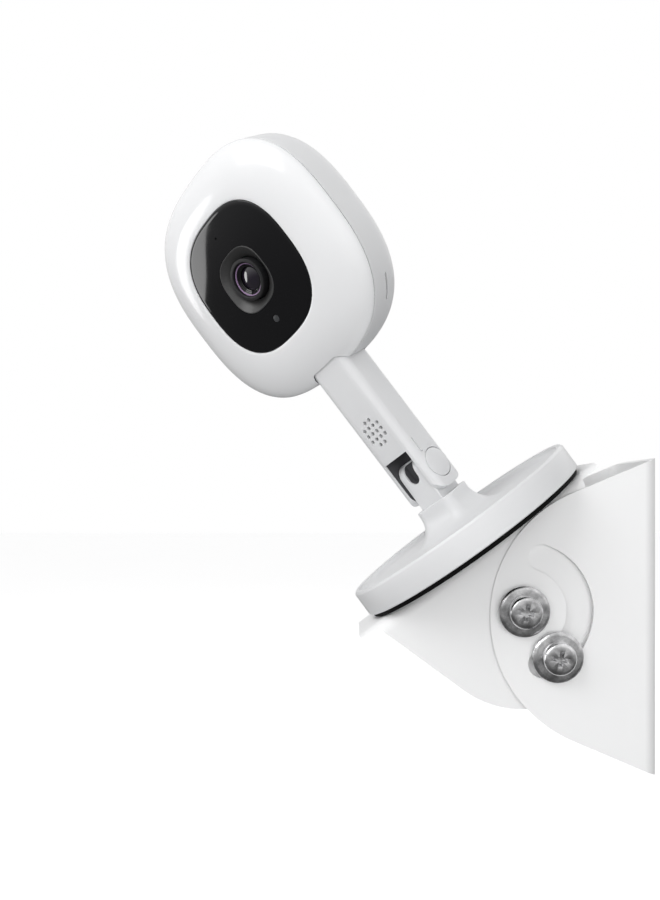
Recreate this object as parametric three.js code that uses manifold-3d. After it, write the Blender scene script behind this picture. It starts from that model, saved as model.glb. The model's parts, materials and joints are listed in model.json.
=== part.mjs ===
// Baby monitor camera on a round stand, held by a two-piece steel wall bracket.
// Millimetres, +Z up. The wall is the plane y = 0 and the object reaches out along -Y.
// The origin is the centre of the wall plate's back face.
import * as THREE from "three";
import { mergeVertices } from "three/addons/utils/BufferGeometryUtils.js";
import Module from "manifold-3d";

const wasm = await Module();
wasm.setup();

// ---------------------------------------------------------------- driving dimensions

// Clearances
const GAP = 0.25; // between pieces that lie against each other
const RUNNING_GAP = 0.4; // between pieces that swing past each other
const OVERSHOOT = 1; // how far a cutting tool reaches past what it cuts

// Sheet-metal bracket
const SHEET = 2;
const BEND_RADIUS = 5; // outside of each bend
const WALL_BRACKET_WIDTH = 50;
const PIVOT_OUT = 47.6; // pivot axis to the wall
const PIVOT_RISE = 2.1; // pivot axis above the middle of the wall plate
const CHEEK_RADIUS = 47.8; // round front of the wall bracket's cheeks
const CHEEK_CENTRE_OUT = 11.5; // centre of that round, from the wall
const CHEEK_CORNER_RISE = 8.8; // wall plate's ends stand this far past the round
const WALL_HOLE_RADIUS = 2.6;
const WALL_HOLE_X = 11;
const WALL_HOLE_Z = 38;
const TILT_PLATE_LENGTH = 105;
const TILT_PLATE_RISE = 27; // pivot axis to the top of the tilting plate
const TILT_TAB = 7.5; // plate that reaches past the cheeks at each end
const TILT_CHEEK_RADIUS = 35.5; // round lower edge of the tilting cheeks
const TILT_REST = THREE.MathUtils.degToRad(36.3);

// Bracket fasteners
const SCREW_RADIUS = 3;
const SCREW_HOLE_GAP = 0.3;
const SCREW_HEAD_RADIUS = 6;
const SCREW_HEAD_HEIGHT = 4.2;
const CROSS_LENGTH = 6.4;
const CROSS_WIDTH = 1.3;
const CROSS_DEPTH = 2.2;
const WASHER_RADIUS = 9;
const WASHER_THICKNESS = 1.6;
const WASHER_BEVEL = 0.5;
const NUT_FLATS = 10;
const NUT_THICKNESS = 5;
const SCREW_POINT_LENGTH = 1.2; // thread that shows past the nut
const SLOT_SCREW_DROP = 20; // second screw below the pivot, in the tilting bracket
const SLOT_WIDTH = 9.6;
const SLOT_HALF_SWEEP = THREE.MathUtils.degToRad(71);

// Round stand
const DISC_RADIUS = 48;
const DISC_HEIGHT = 11.7; // underside of the pad to the top of the rim
const DISC_SHIFT = 2; // stand's centre, up the tilting plate from its middle
const STAND_YAW = THREE.MathUtils.degToRad(46.5); // turn of the stand on the plate
const DISC_WALL = 2.2;
const RIM_CHAMFER = 0.8;
const RIM_WIDTH = 1.6;
const DISH_DEPTH = 2.3;
const PAD_THICKNESS = 1.5;
const PAD_INSET = 1.2;
const COVER_THICKNESS = 1.4;
const BALLAST_THICKNESS = 3.2;
const LEDGE_RISE = 9.7; // top of the post, above the rim
const FLARE_REACH = 10; // how far the post's foot spreads over the dish
const FLARE_TOP_STRAIGHT = 1.6;
const STAND_SCREW_COUNT = 3;
const STAND_SCREW_CIRCLE = 30;
const STAND_SCREW_RADIUS = 1.2;
const STAND_SCREW_HEAD_RADIUS = 2.4;
const STAND_BOSS_RADIUS = 3.2;

// Hinge between stand and camera
const HINGE_RISE = 21.6; // hinge axis above the rim
const TONGUE_DEPTH = 12.8;
const TONGUE_TOP = 6.4; // above the hinge axis
const TONGUE_CORNER = 5;
const NOTCH_WIDTH = 5.2;
const NOTCH_DROP = 8.8;
const PIN_RADIUS = 2;
const HINGE_CAP_RADIUS = 5.9;
const HINGE_CAP_THICKNESS = 1.5;
const WAVE_WASHER_RADIUS = 4.2;
const WAVE_WASHER_THICKNESS = 0.6;

const CAMERA_LEAN = THREE.MathUtils.degToRad(1.4); // camera's nod forward at rest

// Stem
const STEM_WIDTH = 18.7;
const STEM_DEPTH = 16.2;
const STEM_CORNER = 3.8;
const STEM_WALL = 1.8;
const WING_DROP = 9.6; // ends of the fork below the hinge axis
const WING_CORNER = 6;
const FORK_TOP = 10.2; // roof of the fork above the hinge axis
const FORK_ROOF = 2.6;
const FORK_WALL = 3.15; // each wing, beside the tongue
const TONGUE_WIDTH = STEM_WIDTH - 2 * (FORK_WALL + RUNNING_GAP);
const FORK_GAP_WIDTH = TONGUE_WIDTH + 2 * RUNNING_GAP;
const CORNER_GROOVE_LENGTH = 6.4;
const CORNER_GROOVE_START = 6.6;
const GROOVE_WIDTH = 0.3;
const GRILLE_RISE = 22.8; // centre of the sound holes above the hinge axis
const GRILLE_PITCH = 2.5;
const GRILLE_HOLE_RADIUS = 0.75;
const GRILLE_COLUMNS = 4;
const GRILLE_ROWS = 5;
const SOCKET_WIDTH = 8.9;
const SOCKET_DEPTH = 3.2;
const SOCKET_LENGTH = 7.2;
const SOCKET_WALL = 0.4;
const SPEAKER_SIDE_ROOM = 1.55; // to the inside of the stem
const SPEAKER_WIDTH = STEM_WIDTH - 2 * (STEM_WALL + SPEAKER_SIDE_ROOM);
const SPEAKER_HEIGHT = 15;
const SPEAKER_THICKNESS = 3.6;
const GASKET_THICKNESS = 0.7;
const GASKET_BORDER = 1.4;
const HARNESS_RADIUS = 0.9;

// Camera head
const HEAD_RISE = 95.7; // centre of the head above the hinge axis
const HEAD_RADIUS = 44.5; // half width and half height
const HEAD_SQUARENESS = 2.73;
const SHELL_DROP = 1; // the shells sit this much lower than the face plate
const PARTING_FORWARD = 4.1; // parting line in front of the stem's axis
const FACE_RADIUS = 26.1;
const FACE_SQUARENESS = 2.63;
const FRONT_DEPTH = 12.8; // stem's axis to the edge of the face plate
const REAR_DEPTH = 18.2; // stem's axis to the back of the head
const REAR_CORNER = 12;
const HEAD_WALL = 2;
const SHOULDER_FULLNESS = 1.74;
const PART_LINE = 0.3;
const FACE_THICKNESS = 1.5;
const FACE_CROWN = 1.6; // how far the face plate swells at its middle
const FACE_LEDGE = 3.4;
const FUNNEL_MOUTH = 11.6;
const FUNNEL_DEPTH = 3.2;
const FUNNEL_THROAT = 8.2;
const FUNNEL_WALL = 0.8;
const BARREL_RADIUS = 7.9;
const BARREL_LENGTH = 13;
const BARREL_LIP = 1.3;
const BARREL_WALL = 1.6;
const LENS_RADIUS = 4.2;
const LENS_RING_THICKNESS = 1.2;
const MIC_RISE = 19;
const MIC_HOLE_RADIUS = 0.45;
const SENSOR_DROP = 17.7;
const SENSOR_WINDOW_RADIUS = 1.4;
const VENT_LENGTH = 7.3; // measured upright; the slot runs round a corner
const VENT_WIDTH = 1;
const VENT_BACK = 4;
const VENT_DROP = 34.1;
const GLOW_HALF_WIDTH = 15;
const GLOW_BACK = 1;
const GLOW_WIDTH = 3;
const BOARD = 1.2; // circuit board thickness
const HEAD_SCREW_RADIUS = 1;
const HEAD_SCREW_HEAD_RADIUS = 1.9;
const HEAD_BOSS_RADIUS = 2.4;
const HEAD_SCREW_REACH = 25; // across and up from the head's centre
const STEM_IN_HEAD = 34; // stem's top end below the head's centre

// Facets
const FINE = 40;
const MEDIUM = 24;
const COARSE = 12;
const TINY = 6;
const CORNER_STEPS = 4;

// ---------------------------------------------------------------- shaping helpers

const axisVector = (x, y, z) => new THREE.Vector3(x, y, z);
const basis = (across, up, out) => new THREE.Matrix4().makeBasis(across, up, out);
const FLAT = new THREE.Matrix4(); // outline in x, y; thickness up +Z
const SIDEWAYS = basis(axisVector(0, 1, 0), axisVector(0, 0, 1), axisVector(1, 0, 0)); // outline in y, z
const FACING = basis(axisVector(1, 0, 0), axisVector(0, 0, 1), axisVector(0, -1, 0)); // outline in x, z

// A closed geometry as a solid that can be joined and cut.
function solid(geometry) {
  const bare = geometry.clone();
  bare.deleteAttribute("normal");
  bare.deleteAttribute("uv");
  const merged = mergeVertices(bare, 1e-4);
  const mesh = new wasm.Mesh({
    numProp: 3,
    vertProperties: new Float32Array(merged.attributes.position.array),
    triVerts: new Uint32Array(merged.index.array),
  });
  return new wasm.Manifold(mesh);
}

// The solid's surface as a geometry that three.js can show.
function surface(body) {
  const mesh = body.getMesh();
  const geometry = new THREE.BufferGeometry();
  geometry.setAttribute("position", new THREE.BufferAttribute(mesh.vertProperties, 3));
  geometry.setIndex(new THREE.BufferAttribute(mesh.triVerts, 1));
  geometry.computeVertexNormals();
  return geometry;
}

const join = (first, ...others) => others.reduce((body, other) => body.add(other), first);
const cut = (first, ...others) => others.reduce((body, other) => body.subtract(other), first);

// An outline given thickness from `from` to `to` along its plane's normal.
function slab(shape, from, to, plane = FLAT, steps = CORNER_STEPS) {
  const options = { depth: to - from, bevelEnabled: false, curveSegments: steps };
  const geometry = new THREE.ExtrudeGeometry(shape, options);
  geometry.translate(0, 0, from);
  return solid(geometry.applyMatrix4(plane));
}

// A rectangle with round corners about the origin, or about (x, y).
function roundedRectangle(width, height, corner, x = 0, y = 0) {
  const radius = Math.min(corner, width / 2, height / 2);
  const shape = new THREE.Shape();
  const right = x + width / 2 - radius;
  const left = x - width / 2 + radius;
  const top = y + height / 2 - radius;
  const bottom = y - height / 2 + radius;
  shape.absarc(right, bottom, radius, -Math.PI / 2, 0);
  shape.absarc(right, top, radius, 0, Math.PI / 2);
  shape.absarc(left, top, radius, Math.PI / 2, Math.PI);
  shape.absarc(left, bottom, radius, Math.PI, 1.5 * Math.PI);
  shape.closePath();
  return shape;
}

function circle(radius, x = 0, y = 0) {
  return new THREE.Shape().absarc(x, y, radius, 0, 2 * Math.PI);
}

// A round bar along a plane's normal, centred on (x, y) of that plane.
function bar(radius, from, to, plane = FLAT, x = 0, y = 0, facets = COARSE) {
  const geometry = new THREE.CylinderGeometry(radius, radius, to - from, facets);
  geometry.rotateX(Math.PI / 2);
  geometry.translate(x, y, (from + to) / 2);
  return solid(geometry.applyMatrix4(plane));
}

function block(width, depth, height, x = 0, y = 0, z = 0) {
  return solid(new THREE.BoxGeometry(width, depth, height).translate(x, y, z));
}

// A profile of [radius, height] points turned about +Z. It closes on itself or on the axis.
function turned(points, facets = MEDIUM, reshape = null, drop = null) {
  const doubleArea = points.reduce((sum, [radius, height], index) => {
    const [nextRadius, nextHeight] = points[(index + 1) % points.length];
    return sum + radius * nextHeight - nextRadius * height;
  }, 0);
  const ordered = doubleArea > 0 ? points : [...points].reverse();
  const vectors = ordered.map(([radius, height]) => new THREE.Vector2(radius, height));
  const startsOnAxis = vectors[0].x === 0;
  if (!startsOnAxis) vectors.push(vectors[0].clone());
  const geometry = new THREE.LatheGeometry(vectors, facets);
  geometry.rotateX(Math.PI / 2);
  if (reshape) reshapeSections(geometry, reshape, drop);
  return solid(geometry);
}

// Moves each vertex out or in from the Z axis to the radius that reshape gives, and then down
// by what drop gives.
function reshapeSections(geometry, reshape, drop) {
  const position = geometry.attributes.position;
  for (let index = 0; index < position.count; index += 1) {
    const x = position.getX(index);
    const y = position.getY(index);
    const radius = Math.hypot(x, y);
    if (radius > 0) {
      const scale = reshape(radius, Math.atan2(y, x), position.getZ(index)) / radius;
      position.setXY(index, x * scale, y * scale);
    }
    if (drop) position.setY(index, position.getY(index) - drop(radius));
  }
}

// Polar radius of a rounded square whose half width is `radius`.
function squareRadius(radius, angle, squareness) {
  const across = Math.abs(Math.cos(angle)) ** squareness;
  const up = Math.abs(Math.sin(angle)) ** squareness;
  return radius * (across + up) ** (-1 / squareness);
}

// Polar radius of a rounded rectangle, found where a ray from its centre leaves it.
function rectangleRadius(angle, halfWidth, halfDepth, corner) {
  const cos = Math.abs(Math.cos(angle));
  const sin = Math.abs(Math.sin(angle));
  const centreX = halfWidth - corner;
  const centreY = halfDepth - corner;
  if (cos > 0 && (halfWidth / cos) * sin <= centreY) return halfWidth / cos;
  if (sin > 0 && (halfDepth / sin) * cos <= centreX) return halfDepth / sin;
  const along = centreX * cos + centreY * sin;
  const aside = centreX ** 2 + centreY ** 2 - along ** 2;
  return along + Math.sqrt(Math.max(0, corner ** 2 - aside));
}

function finish(color, roughness, metalness = 0) {
  return new THREE.MeshStandardMaterial({ color, roughness, metalness });
}

const whiteGloss = () => finish(0xf4f5f6, 0.18);
const greySatin = () => finish(0xd3d5d8, 0.42);
const blackGloss = () => finish(0x0b0b0c, 0.08);
const blackMatte = () => finish(0x151515, 0.6);
const rubber = () => finish(0x101010, 0.85);
const whiteCoat = () => finish(0xe9eaec, 0.5);
const chrome = () => finish(0xd0d3d6, 0.15, 1);
const steel = () => finish(0xa8abae, 0.35, 1);
const aluminium = () => finish(0xb9bcc0, 0.4, 1);
const boardGreen = () => finish(0x14472d, 0.5);
const glass = () => finish(0x20182c, 0.03);
const diffuser = () => finish(0xf3ecd9, 0.35);

function place(group, name, body, material) {
  const mesh = new THREE.Mesh(surface(body), material);
  mesh.name = name;
  group.add(mesh);
}

// ---------------------------------------------------------------- groups

const product = new THREE.Group();
const tiltGroup = new THREE.Group(); // swings about the bracket's pivot
tiltGroup.position.set(0, -PIVOT_OUT, PIVOT_RISE);
tiltGroup.rotation.x = TILT_REST;
product.add(tiltGroup);
const standGroup = new THREE.Group(); // z = 0 is the underside of the pad, the camera faces -Y
standGroup.position.set(0, DISC_SHIFT, TILT_PLATE_RISE + GAP);
standGroup.rotation.z = STAND_YAW;
tiltGroup.add(standGroup);
const cameraGroup = new THREE.Group(); // origin on the hinge axis
cameraGroup.position.set(0, 0, DISC_HEIGHT + HINGE_RISE);
cameraGroup.rotation.x = CAMERA_LEAN;
standGroup.add(cameraGroup);
const headGroup = new THREE.Group(); // origin where the lens axis crosses the parting line
headGroup.position.set(0, 0, HEAD_RISE);
cameraGroup.add(headGroup);

// ---------------------------------------------------------------- bracket

// Section of a sheet bent to a U: its plate's outside is at y = top, its legs reach down.
function bentSection(width, top, bottom) {
  const half = width / 2;
  const bend = half - BEND_RADIUS;
  const inner = BEND_RADIUS - SHEET;
  const shape = new THREE.Shape();
  shape.moveTo(half, bottom);
  shape.absarc(bend, top - BEND_RADIUS, BEND_RADIUS, 0, Math.PI / 2);
  shape.absarc(-bend, top - BEND_RADIUS, BEND_RADIUS, Math.PI / 2, Math.PI);
  shape.lineTo(-half, bottom);
  shape.lineTo(-half + SHEET, bottom);
  shape.absarc(-bend, top - BEND_RADIUS, inner, Math.PI, Math.PI / 2, true);
  shape.absarc(bend, top - BEND_RADIUS, inner, Math.PI / 2, 0, true);
  shape.lineTo(half - SHEET, bottom);
  shape.closePath();
  return shape;
}

// Angle, seen from a circle's centre, at which a line from a far point touches the circle.
function tangentAngle(pointX, pointY, radius) {
  return Math.acos(radius / Math.hypot(pointX, pointY));
}

const WALL_PLATE_HALF = CHEEK_RADIUS + CHEEK_CORNER_RISE;
const TILT_BRACKET_WIDTH = WALL_BRACKET_WIDTH - 2 * SHEET - 2 * RUNNING_GAP;

function wallCheekOutline() {
  const corner = Math.atan2(WALL_PLATE_HALF, CHEEK_CENTRE_OUT);
  const touch = corner + tangentAngle(CHEEK_CENTRE_OUT, WALL_PLATE_HALF, CHEEK_RADIUS);
  const shape = new THREE.Shape();
  shape.moveTo(OVERSHOOT, WALL_PLATE_HALF);
  shape.lineTo(0, WALL_PLATE_HALF);
  shape.absarc(-CHEEK_CENTRE_OUT, 0, CHEEK_RADIUS, touch, 2 * Math.PI - touch);
  shape.lineTo(0, -WALL_PLATE_HALF);
  shape.lineTo(OVERSHOOT, -WALL_PLATE_HALF);
  shape.closePath();
  return shape;
}

// The curved slot that the second screw slides in, about the pivot at (x, y).
function arcSlot(x, y) {
  const shape = new THREE.Shape();
  const reach = SLOT_SCREW_DROP;
  const half = SLOT_WIDTH / 2;
  const sweep = SLOT_HALF_SWEEP;
  const endX = x + reach * Math.cos(sweep);
  const endY = reach * Math.sin(sweep);
  shape.absarc(x, y, reach + half, -sweep, sweep);
  shape.absarc(endX, y + endY, half, sweep, sweep + Math.PI);
  shape.absarc(x, y, reach - half, sweep, -sweep, true);
  shape.absarc(endX, y - endY, half, Math.PI - sweep, 2 * Math.PI - sweep);
  shape.closePath();
  return shape;
}

// The space over the tilting plate's level at rest, which the stand's foot sweeps into.
function overPlateSpace() {
  const size = 2 * TILT_PLATE_LENGTH;
  const level = TILT_PLATE_RISE - RUNNING_GAP;
  const space = block(size, size, size, 0, 0, level + size / 2);
  return space.rotate([THREE.MathUtils.radToDeg(TILT_REST), 0, 0]).translate([0, -PIVOT_OUT, PIVOT_RISE]);
}

function makeWallBracket() {
  const reach = CHEEK_RADIUS + CHEEK_CENTRE_OUT + OVERSHOOT;
  const across = WALL_BRACKET_WIDTH / 2 + OVERSHOOT;
  const sheet = slab(bentSection(WALL_BRACKET_WIDTH, 0, -reach), -WALL_PLATE_HALF, WALL_PLATE_HALF);
  const outline = slab(wallCheekOutline(), -across, across, SIDEWAYS, 28);
  const hole = SCREW_RADIUS + SCREW_HOLE_GAP;
  const pivotHole = bar(hole, -across, across, SIDEWAYS, -PIVOT_OUT, PIVOT_RISE, COARSE);
  const slot = slab(arcSlot(-PIVOT_OUT, PIVOT_RISE), -across, across, SIDEWAYS, 16);
  let bracket = cut(sheet.intersect(outline), pivotHole, slot, overPlateSpace());
  for (const sideX of [-1, 1]) {
    for (const sideZ of [-1, 1]) {
      const x = sideX * WALL_HOLE_X;
      const z = sideZ * WALL_HOLE_Z;
      bracket = bracket.subtract(bar(WALL_HOLE_RADIUS, -OVERSHOOT, 2 * SHEET, FACING, x, z, 12));
    }
  }
  return bracket;
}

function tiltCheekOutline() {
  const halfPlate = TILT_PLATE_LENGTH / 2;
  const halfCheek = halfPlate - TILT_TAB;
  const under = TILT_PLATE_RISE - SHEET;
  const corner = Math.atan2(under, halfCheek);
  const touch = corner - tangentAngle(halfCheek, under, TILT_CHEEK_RADIUS);
  const shape = new THREE.Shape();
  shape.moveTo(halfPlate, TILT_PLATE_RISE + OVERSHOOT);
  shape.lineTo(-halfPlate, TILT_PLATE_RISE + OVERSHOOT);
  shape.lineTo(-halfPlate, under);
  shape.lineTo(-halfCheek, under);
  shape.absarc(0, 0, TILT_CHEEK_RADIUS, Math.PI - touch, 2 * Math.PI + touch);
  shape.lineTo(halfCheek, under);
  shape.lineTo(halfPlate, under);
  shape.closePath();
  return shape;
}

function makeTiltBracket() {
  const halfPlate = TILT_PLATE_LENGTH / 2;
  const bottom = -TILT_CHEEK_RADIUS - OVERSHOOT;
  const across = TILT_BRACKET_WIDTH / 2 + OVERSHOOT;
  const section = bentSection(TILT_BRACKET_WIDTH, TILT_PLATE_RISE, bottom);
  const sheet = slab(section, -halfPlate, halfPlate, FACING);
  const outline = slab(tiltCheekOutline(), -across, across, SIDEWAYS, 24);
  const hole = SCREW_RADIUS + SCREW_HOLE_GAP;
  const pivotHole = bar(hole, -across, across, SIDEWAYS, 0, 0, COARSE);
  const slotScrewHole = bar(hole, -across, across, SIDEWAYS, 0, -SLOT_SCREW_DROP, COARSE);
  return cut(sheet.intersect(outline), pivotHole, slotScrewHole);
}

// Distances out from the bracket's middle, along +X
const WALL_CHEEK_OUTSIDE = WALL_BRACKET_WIDTH / 2;
const WASHER_INSIDE = WALL_CHEEK_OUTSIDE + GAP;
const HEAD_INSIDE = WASHER_INSIDE + WASHER_THICKNESS + GAP;
const NUT_OUTSIDE = TILT_BRACKET_WIDTH / 2 - SHEET - GAP;
const NUT_INSIDE = NUT_OUTSIDE - NUT_THICKNESS;
const SCREW_END = NUT_INSIDE - SCREW_POINT_LENGTH;

function makeBracketScrew() {
  const rim = SCREW_HEAD_RADIUS;
  const top = HEAD_INSIDE + SCREW_HEAD_HEIGHT;
  const profile = [
    [0, SCREW_END],
    [SCREW_RADIUS - 0.5, SCREW_END],
    [SCREW_RADIUS, SCREW_END + 0.5],
    [SCREW_RADIUS, HEAD_INSIDE],
    [rim, HEAD_INSIDE],
    [rim, HEAD_INSIDE + 0.4 * SCREW_HEAD_HEIGHT],
    [0.86 * rim, HEAD_INSIDE + 0.82 * SCREW_HEAD_HEIGHT],
    [0.55 * rim, top],
    [0, top],
  ];
  const deep = top - CROSS_DEPTH / 2 + OVERSHOOT / 2;
  const height = CROSS_DEPTH + OVERSHOOT;
  const crossUp = block(CROSS_WIDTH, CROSS_LENGTH, height, 0, 0, deep);
  const crossOver = block(CROSS_LENGTH, CROSS_WIDTH, height, 0, 0, deep);
  return cut(turned(profile, 20), crossUp, crossOver);
}

function makeBracketWasher() {
  const hole = SCREW_RADIUS + SCREW_HOLE_GAP;
  const top = WASHER_INSIDE + WASHER_THICKNESS;
  return turned([
    [hole, WASHER_INSIDE],
    [WASHER_RADIUS, WASHER_INSIDE],
    [WASHER_RADIUS, top - WASHER_BEVEL],
    [WASHER_RADIUS - WASHER_BEVEL, top],
    [hole, top],
  ], 24);
}

function makeBracketNut() {
  const corner = NUT_FLATS / Math.sqrt(3);
  const body = bar(corner, NUT_INSIDE, NUT_OUTSIDE, FLAT, 0, 0, 6);
  return body.subtract(bar(SCREW_RADIUS + SCREW_HOLE_GAP, NUT_INSIDE - OVERSHOOT, NUT_OUTSIDE + OVERSHOOT));
}

// A screw, washer and nut through both cheeks on one side, `drop` below the pivot.
function addFastener(role, sideName, side, drop) {
  const group = new THREE.Group();
  group.position.set(0, 0, -drop);
  group.rotation.y = (side * Math.PI) / 2;
  tiltGroup.add(group);
  place(group, `${role}_screw_${sideName}`, makeBracketScrew(), chrome());
  place(group, `${role}_washer_${sideName}`, makeBracketWasher(), chrome());
  place(group, `${role}_nut_${sideName}`, makeBracketNut(), steel());
}

place(product, "wall_bracket", makeWallBracket(), whiteCoat());
place(tiltGroup, "tilt_bracket", makeTiltBracket(), whiteCoat());
for (const [sideName, side] of [["right", 1], ["left", -1]]) {
  addFastener("pivot", sideName, side, 0);
  addFastener("slot", sideName, side, SLOT_SCREW_DROP);
}

// ---------------------------------------------------------------- stand

const DISC_BOTTOM = PAD_THICKNESS + GAP;
const COVER_TOP = DISC_BOTTOM + COVER_THICKNESS;
const BALLAST_BOTTOM = COVER_TOP + GAP;
const BALLAST_TOP = BALLAST_BOTTOM + BALLAST_THICKNESS;
const DISH_FLOOR = DISC_HEIGHT - DISH_DEPTH;
const CEILING = DISH_FLOOR - DISC_WALL;
const LEDGE = DISC_HEIGHT + LEDGE_RISE;
const HINGE = DISC_HEIGHT + HINGE_RISE;

// Stand sections follow the stem's rounded rectangle at the post and turn round over the dish.
function standSection(radius, angle) {
  const halfWidth = STEM_WIDTH / 2;
  if (radius <= halfWidth) {
    const post = rectangleRadius(angle, halfWidth, STEM_DEPTH / 2, STEM_CORNER);
    return (post * radius) / halfWidth;
  }
  const spread = radius - halfWidth;
  const flared = rectangleRadius(angle, radius, STEM_DEPTH / 2 + spread, STEM_CORNER + spread);
  const roundness = THREE.MathUtils.smoothstep(spread, FLARE_REACH, 2 * FLARE_REACH);
  return THREE.MathUtils.lerp(flared, radius, roundness);
}

// The post's foot: a quarter of an ellipse from the post down to the dish.
function flarePoints(steps) {
  const points = [];
  const drop = LEDGE - FLARE_TOP_STRAIGHT - DISH_FLOOR;
  for (let step = 0; step <= steps; step += 1) {
    const angle = (step / steps) * (Math.PI / 2);
    const radius = STEM_WIDTH / 2 + FLARE_REACH * (1 - Math.cos(angle));
    points.push([radius, DISH_FLOOR + drop * (1 - Math.sin(angle))]);
  }
  return points;
}

function screwCircle(action) {
  for (let index = 0; index < STAND_SCREW_COUNT; index += 1) {
    const angle = Math.PI / 2 + (index * 2 * Math.PI) / STAND_SCREW_COUNT;
    action(STAND_SCREW_CIRCLE * Math.cos(angle), STAND_SCREW_CIRCLE * Math.sin(angle), index + 1);
  }
}

function makeTongue() {
  const top = HINGE + TONGUE_TOP;
  const foot = LEDGE - OVERSHOOT;
  const half = TONGUE_WIDTH / 2;
  const outline = roundedRectangle(TONGUE_DEPTH, 2 * (top - foot), TONGUE_CORNER, 0, foot);
  const blank = slab(outline, -half, half, SIDEWAYS, 6);
  const front = -TONGUE_DEPTH / 2 - OVERSHOOT;
  const back = -PIN_RADIUS - GAP - 0.6;
  const notchLow = top - NOTCH_DROP + NOTCH_WIDTH / 2;
  const notchShape = roundedRectangle(NOTCH_WIDTH, 4 * NOTCH_DROP, NOTCH_WIDTH / 2, 0,
    notchLow - NOTCH_WIDTH / 2 + 2 * NOTCH_DROP);
  const notch = slab(notchShape, -back, -front, FACING, 6);
  const tall = top - foot + OVERSHOOT;
  const below = block(TONGUE_WIDTH * 2, TONGUE_DEPTH * 2, tall, 0, 0, foot - tall / 2);
  return cut(blank, notch, below);
}

function makeBaseShell() {
  const rimInner = DISC_RADIUS - RIM_CHAMFER - RIM_WIDTH;
  const innerWall = DISC_RADIUS - DISC_WALL;
  const profile = [
    [0, LEDGE],
    [STEM_WIDTH / 2 - 0.4, LEDGE],
    [STEM_WIDTH / 2, LEDGE - 0.4],
    ...flarePoints(7),
    [STEM_WIDTH / 2 + 2 * FLARE_REACH, DISH_FLOOR - 0.25],
    [rimInner - 2, DISH_FLOOR],
    [rimInner, DISH_FLOOR + 0.5 * DISH_DEPTH],
    [rimInner + RIM_WIDTH / 2, DISC_HEIGHT],
    [DISC_RADIUS - RIM_CHAMFER, DISC_HEIGHT],
    [DISC_RADIUS, DISC_HEIGHT - RIM_CHAMFER],
    [DISC_RADIUS, DISC_BOTTOM],
    [innerWall, DISC_BOTTOM],
    [innerWall, CEILING],
    [0, CEILING],
  ];
  let shell = join(turned(profile, FINE, standSection), makeTongue());
  screwCircle((x, y) => {
    const boss = bar(STAND_BOSS_RADIUS, BALLAST_BOTTOM, DISH_FLOOR - DISC_WALL / 2, FLAT, x, y, 12);
    const pilot = bar(STAND_SCREW_RADIUS + GAP, 0, CEILING, FLAT, x, y, COARSE);
    shell = shell.add(boss).subtract(pilot);
  });
  const far = STEM_WIDTH;
  const bore = bar(PIN_RADIUS + GAP / 2, -far, far, SIDEWAYS, 0, HINGE, COARSE);
  const seat = TONGUE_WIDTH / 2 - WAVE_WASHER_THICKNESS;
  for (const [from, to] of [[seat, far], [-far, -seat]]) {
    shell = shell.subtract(bar(WAVE_WASHER_RADIUS + GAP, from, to, SIDEWAYS, 0, HINGE, COARSE));
  }
  return shell.subtract(bore);
}

function makeBallast() {
  let plate = bar(DISC_RADIUS - DISC_WALL - GAP - 1, BALLAST_BOTTOM, BALLAST_TOP, FLAT, 0, 0, FINE);
  screwCircle((x, y) => {
    plate = plate.subtract(bar(STAND_BOSS_RADIUS + GAP, 0, DISC_HEIGHT, FLAT, x, y, 12));
  });
  return plate;
}

function makeBaseCover() {
  let plate = bar(DISC_RADIUS - DISC_WALL - GAP, DISC_BOTTOM, COVER_TOP, FLAT, 0, 0, FINE);
  screwCircle((x, y) => {
    plate = plate.subtract(bar(STAND_SCREW_HEAD_RADIUS + GAP, 0, COVER_TOP - 0.5, FLAT, x, y, 12));
    plate = plate.subtract(bar(STAND_SCREW_RADIUS + GAP, 0, DISC_HEIGHT, FLAT, x, y, TINY));
  });
  return plate;
}

function makeRubberPad() {
  const radius = DISC_RADIUS - PAD_INSET;
  return turned([
    [0, 0],
    [radius - 0.5, 0],
    [radius, 0.5],
    [radius, PAD_THICKNESS],
    [0, PAD_THICKNESS],
  ], FINE);
}

function makeStandScrew() {
  const headTop = COVER_TOP - 0.5 - GAP / 2;
  return turned([
    [0, DISC_BOTTOM],
    [STAND_SCREW_HEAD_RADIUS, DISC_BOTTOM],
    [STAND_SCREW_HEAD_RADIUS, headTop],
    [STAND_SCREW_RADIUS, headTop],
    [STAND_SCREW_RADIUS, CEILING - GAP],
    [0, CEILING - GAP],
  ], 12);
}

place(standGroup, "base_shell", makeBaseShell(), greySatin());
place(standGroup, "ballast_plate", makeBallast(), steel());
place(standGroup, "base_cover", makeBaseCover(), blackMatte());
place(standGroup, "rubber_pad", makeRubberPad(), rubber());
screwCircle((x, y, number) => {
  place(standGroup, `base_screw_${number}`, makeStandScrew().translate([x, y, 0]), steel());
});

// ---------------------------------------------------------------- hinge

const PIN_HALF = STEM_WIDTH / 2 - HINGE_CAP_THICKNESS - 2 * GAP;

function makeHingePin() {
  return bar(PIN_RADIUS, -PIN_HALF, PIN_HALF, SIDEWAYS);
}

function makeHingeCap(side) {
  const outside = STEM_WIDTH / 2;
  const cap = turned([
    [0, outside - HINGE_CAP_THICKNESS],
    [HINGE_CAP_RADIUS, outside - HINGE_CAP_THICKNESS],
    [HINGE_CAP_RADIUS, outside - 0.3],
    [HINGE_CAP_RADIUS - 0.3, outside],
    [0, outside],
  ], MEDIUM);
  return cap.rotate([0, side * 90, 0]);
}

function makeWaveWasher(side) {
  const outside = TONGUE_WIDTH / 2;
  const washer = turned([
    [PIN_RADIUS + GAP, outside - WAVE_WASHER_THICKNESS + GAP / 2],
    [WAVE_WASHER_RADIUS, outside - WAVE_WASHER_THICKNESS + GAP / 2],
    [WAVE_WASHER_RADIUS, outside + GAP / 2],
    [PIN_RADIUS + GAP, outside + GAP / 2],
  ], COARSE);
  return washer.rotate([0, side * 90, 0]);
}

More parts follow.
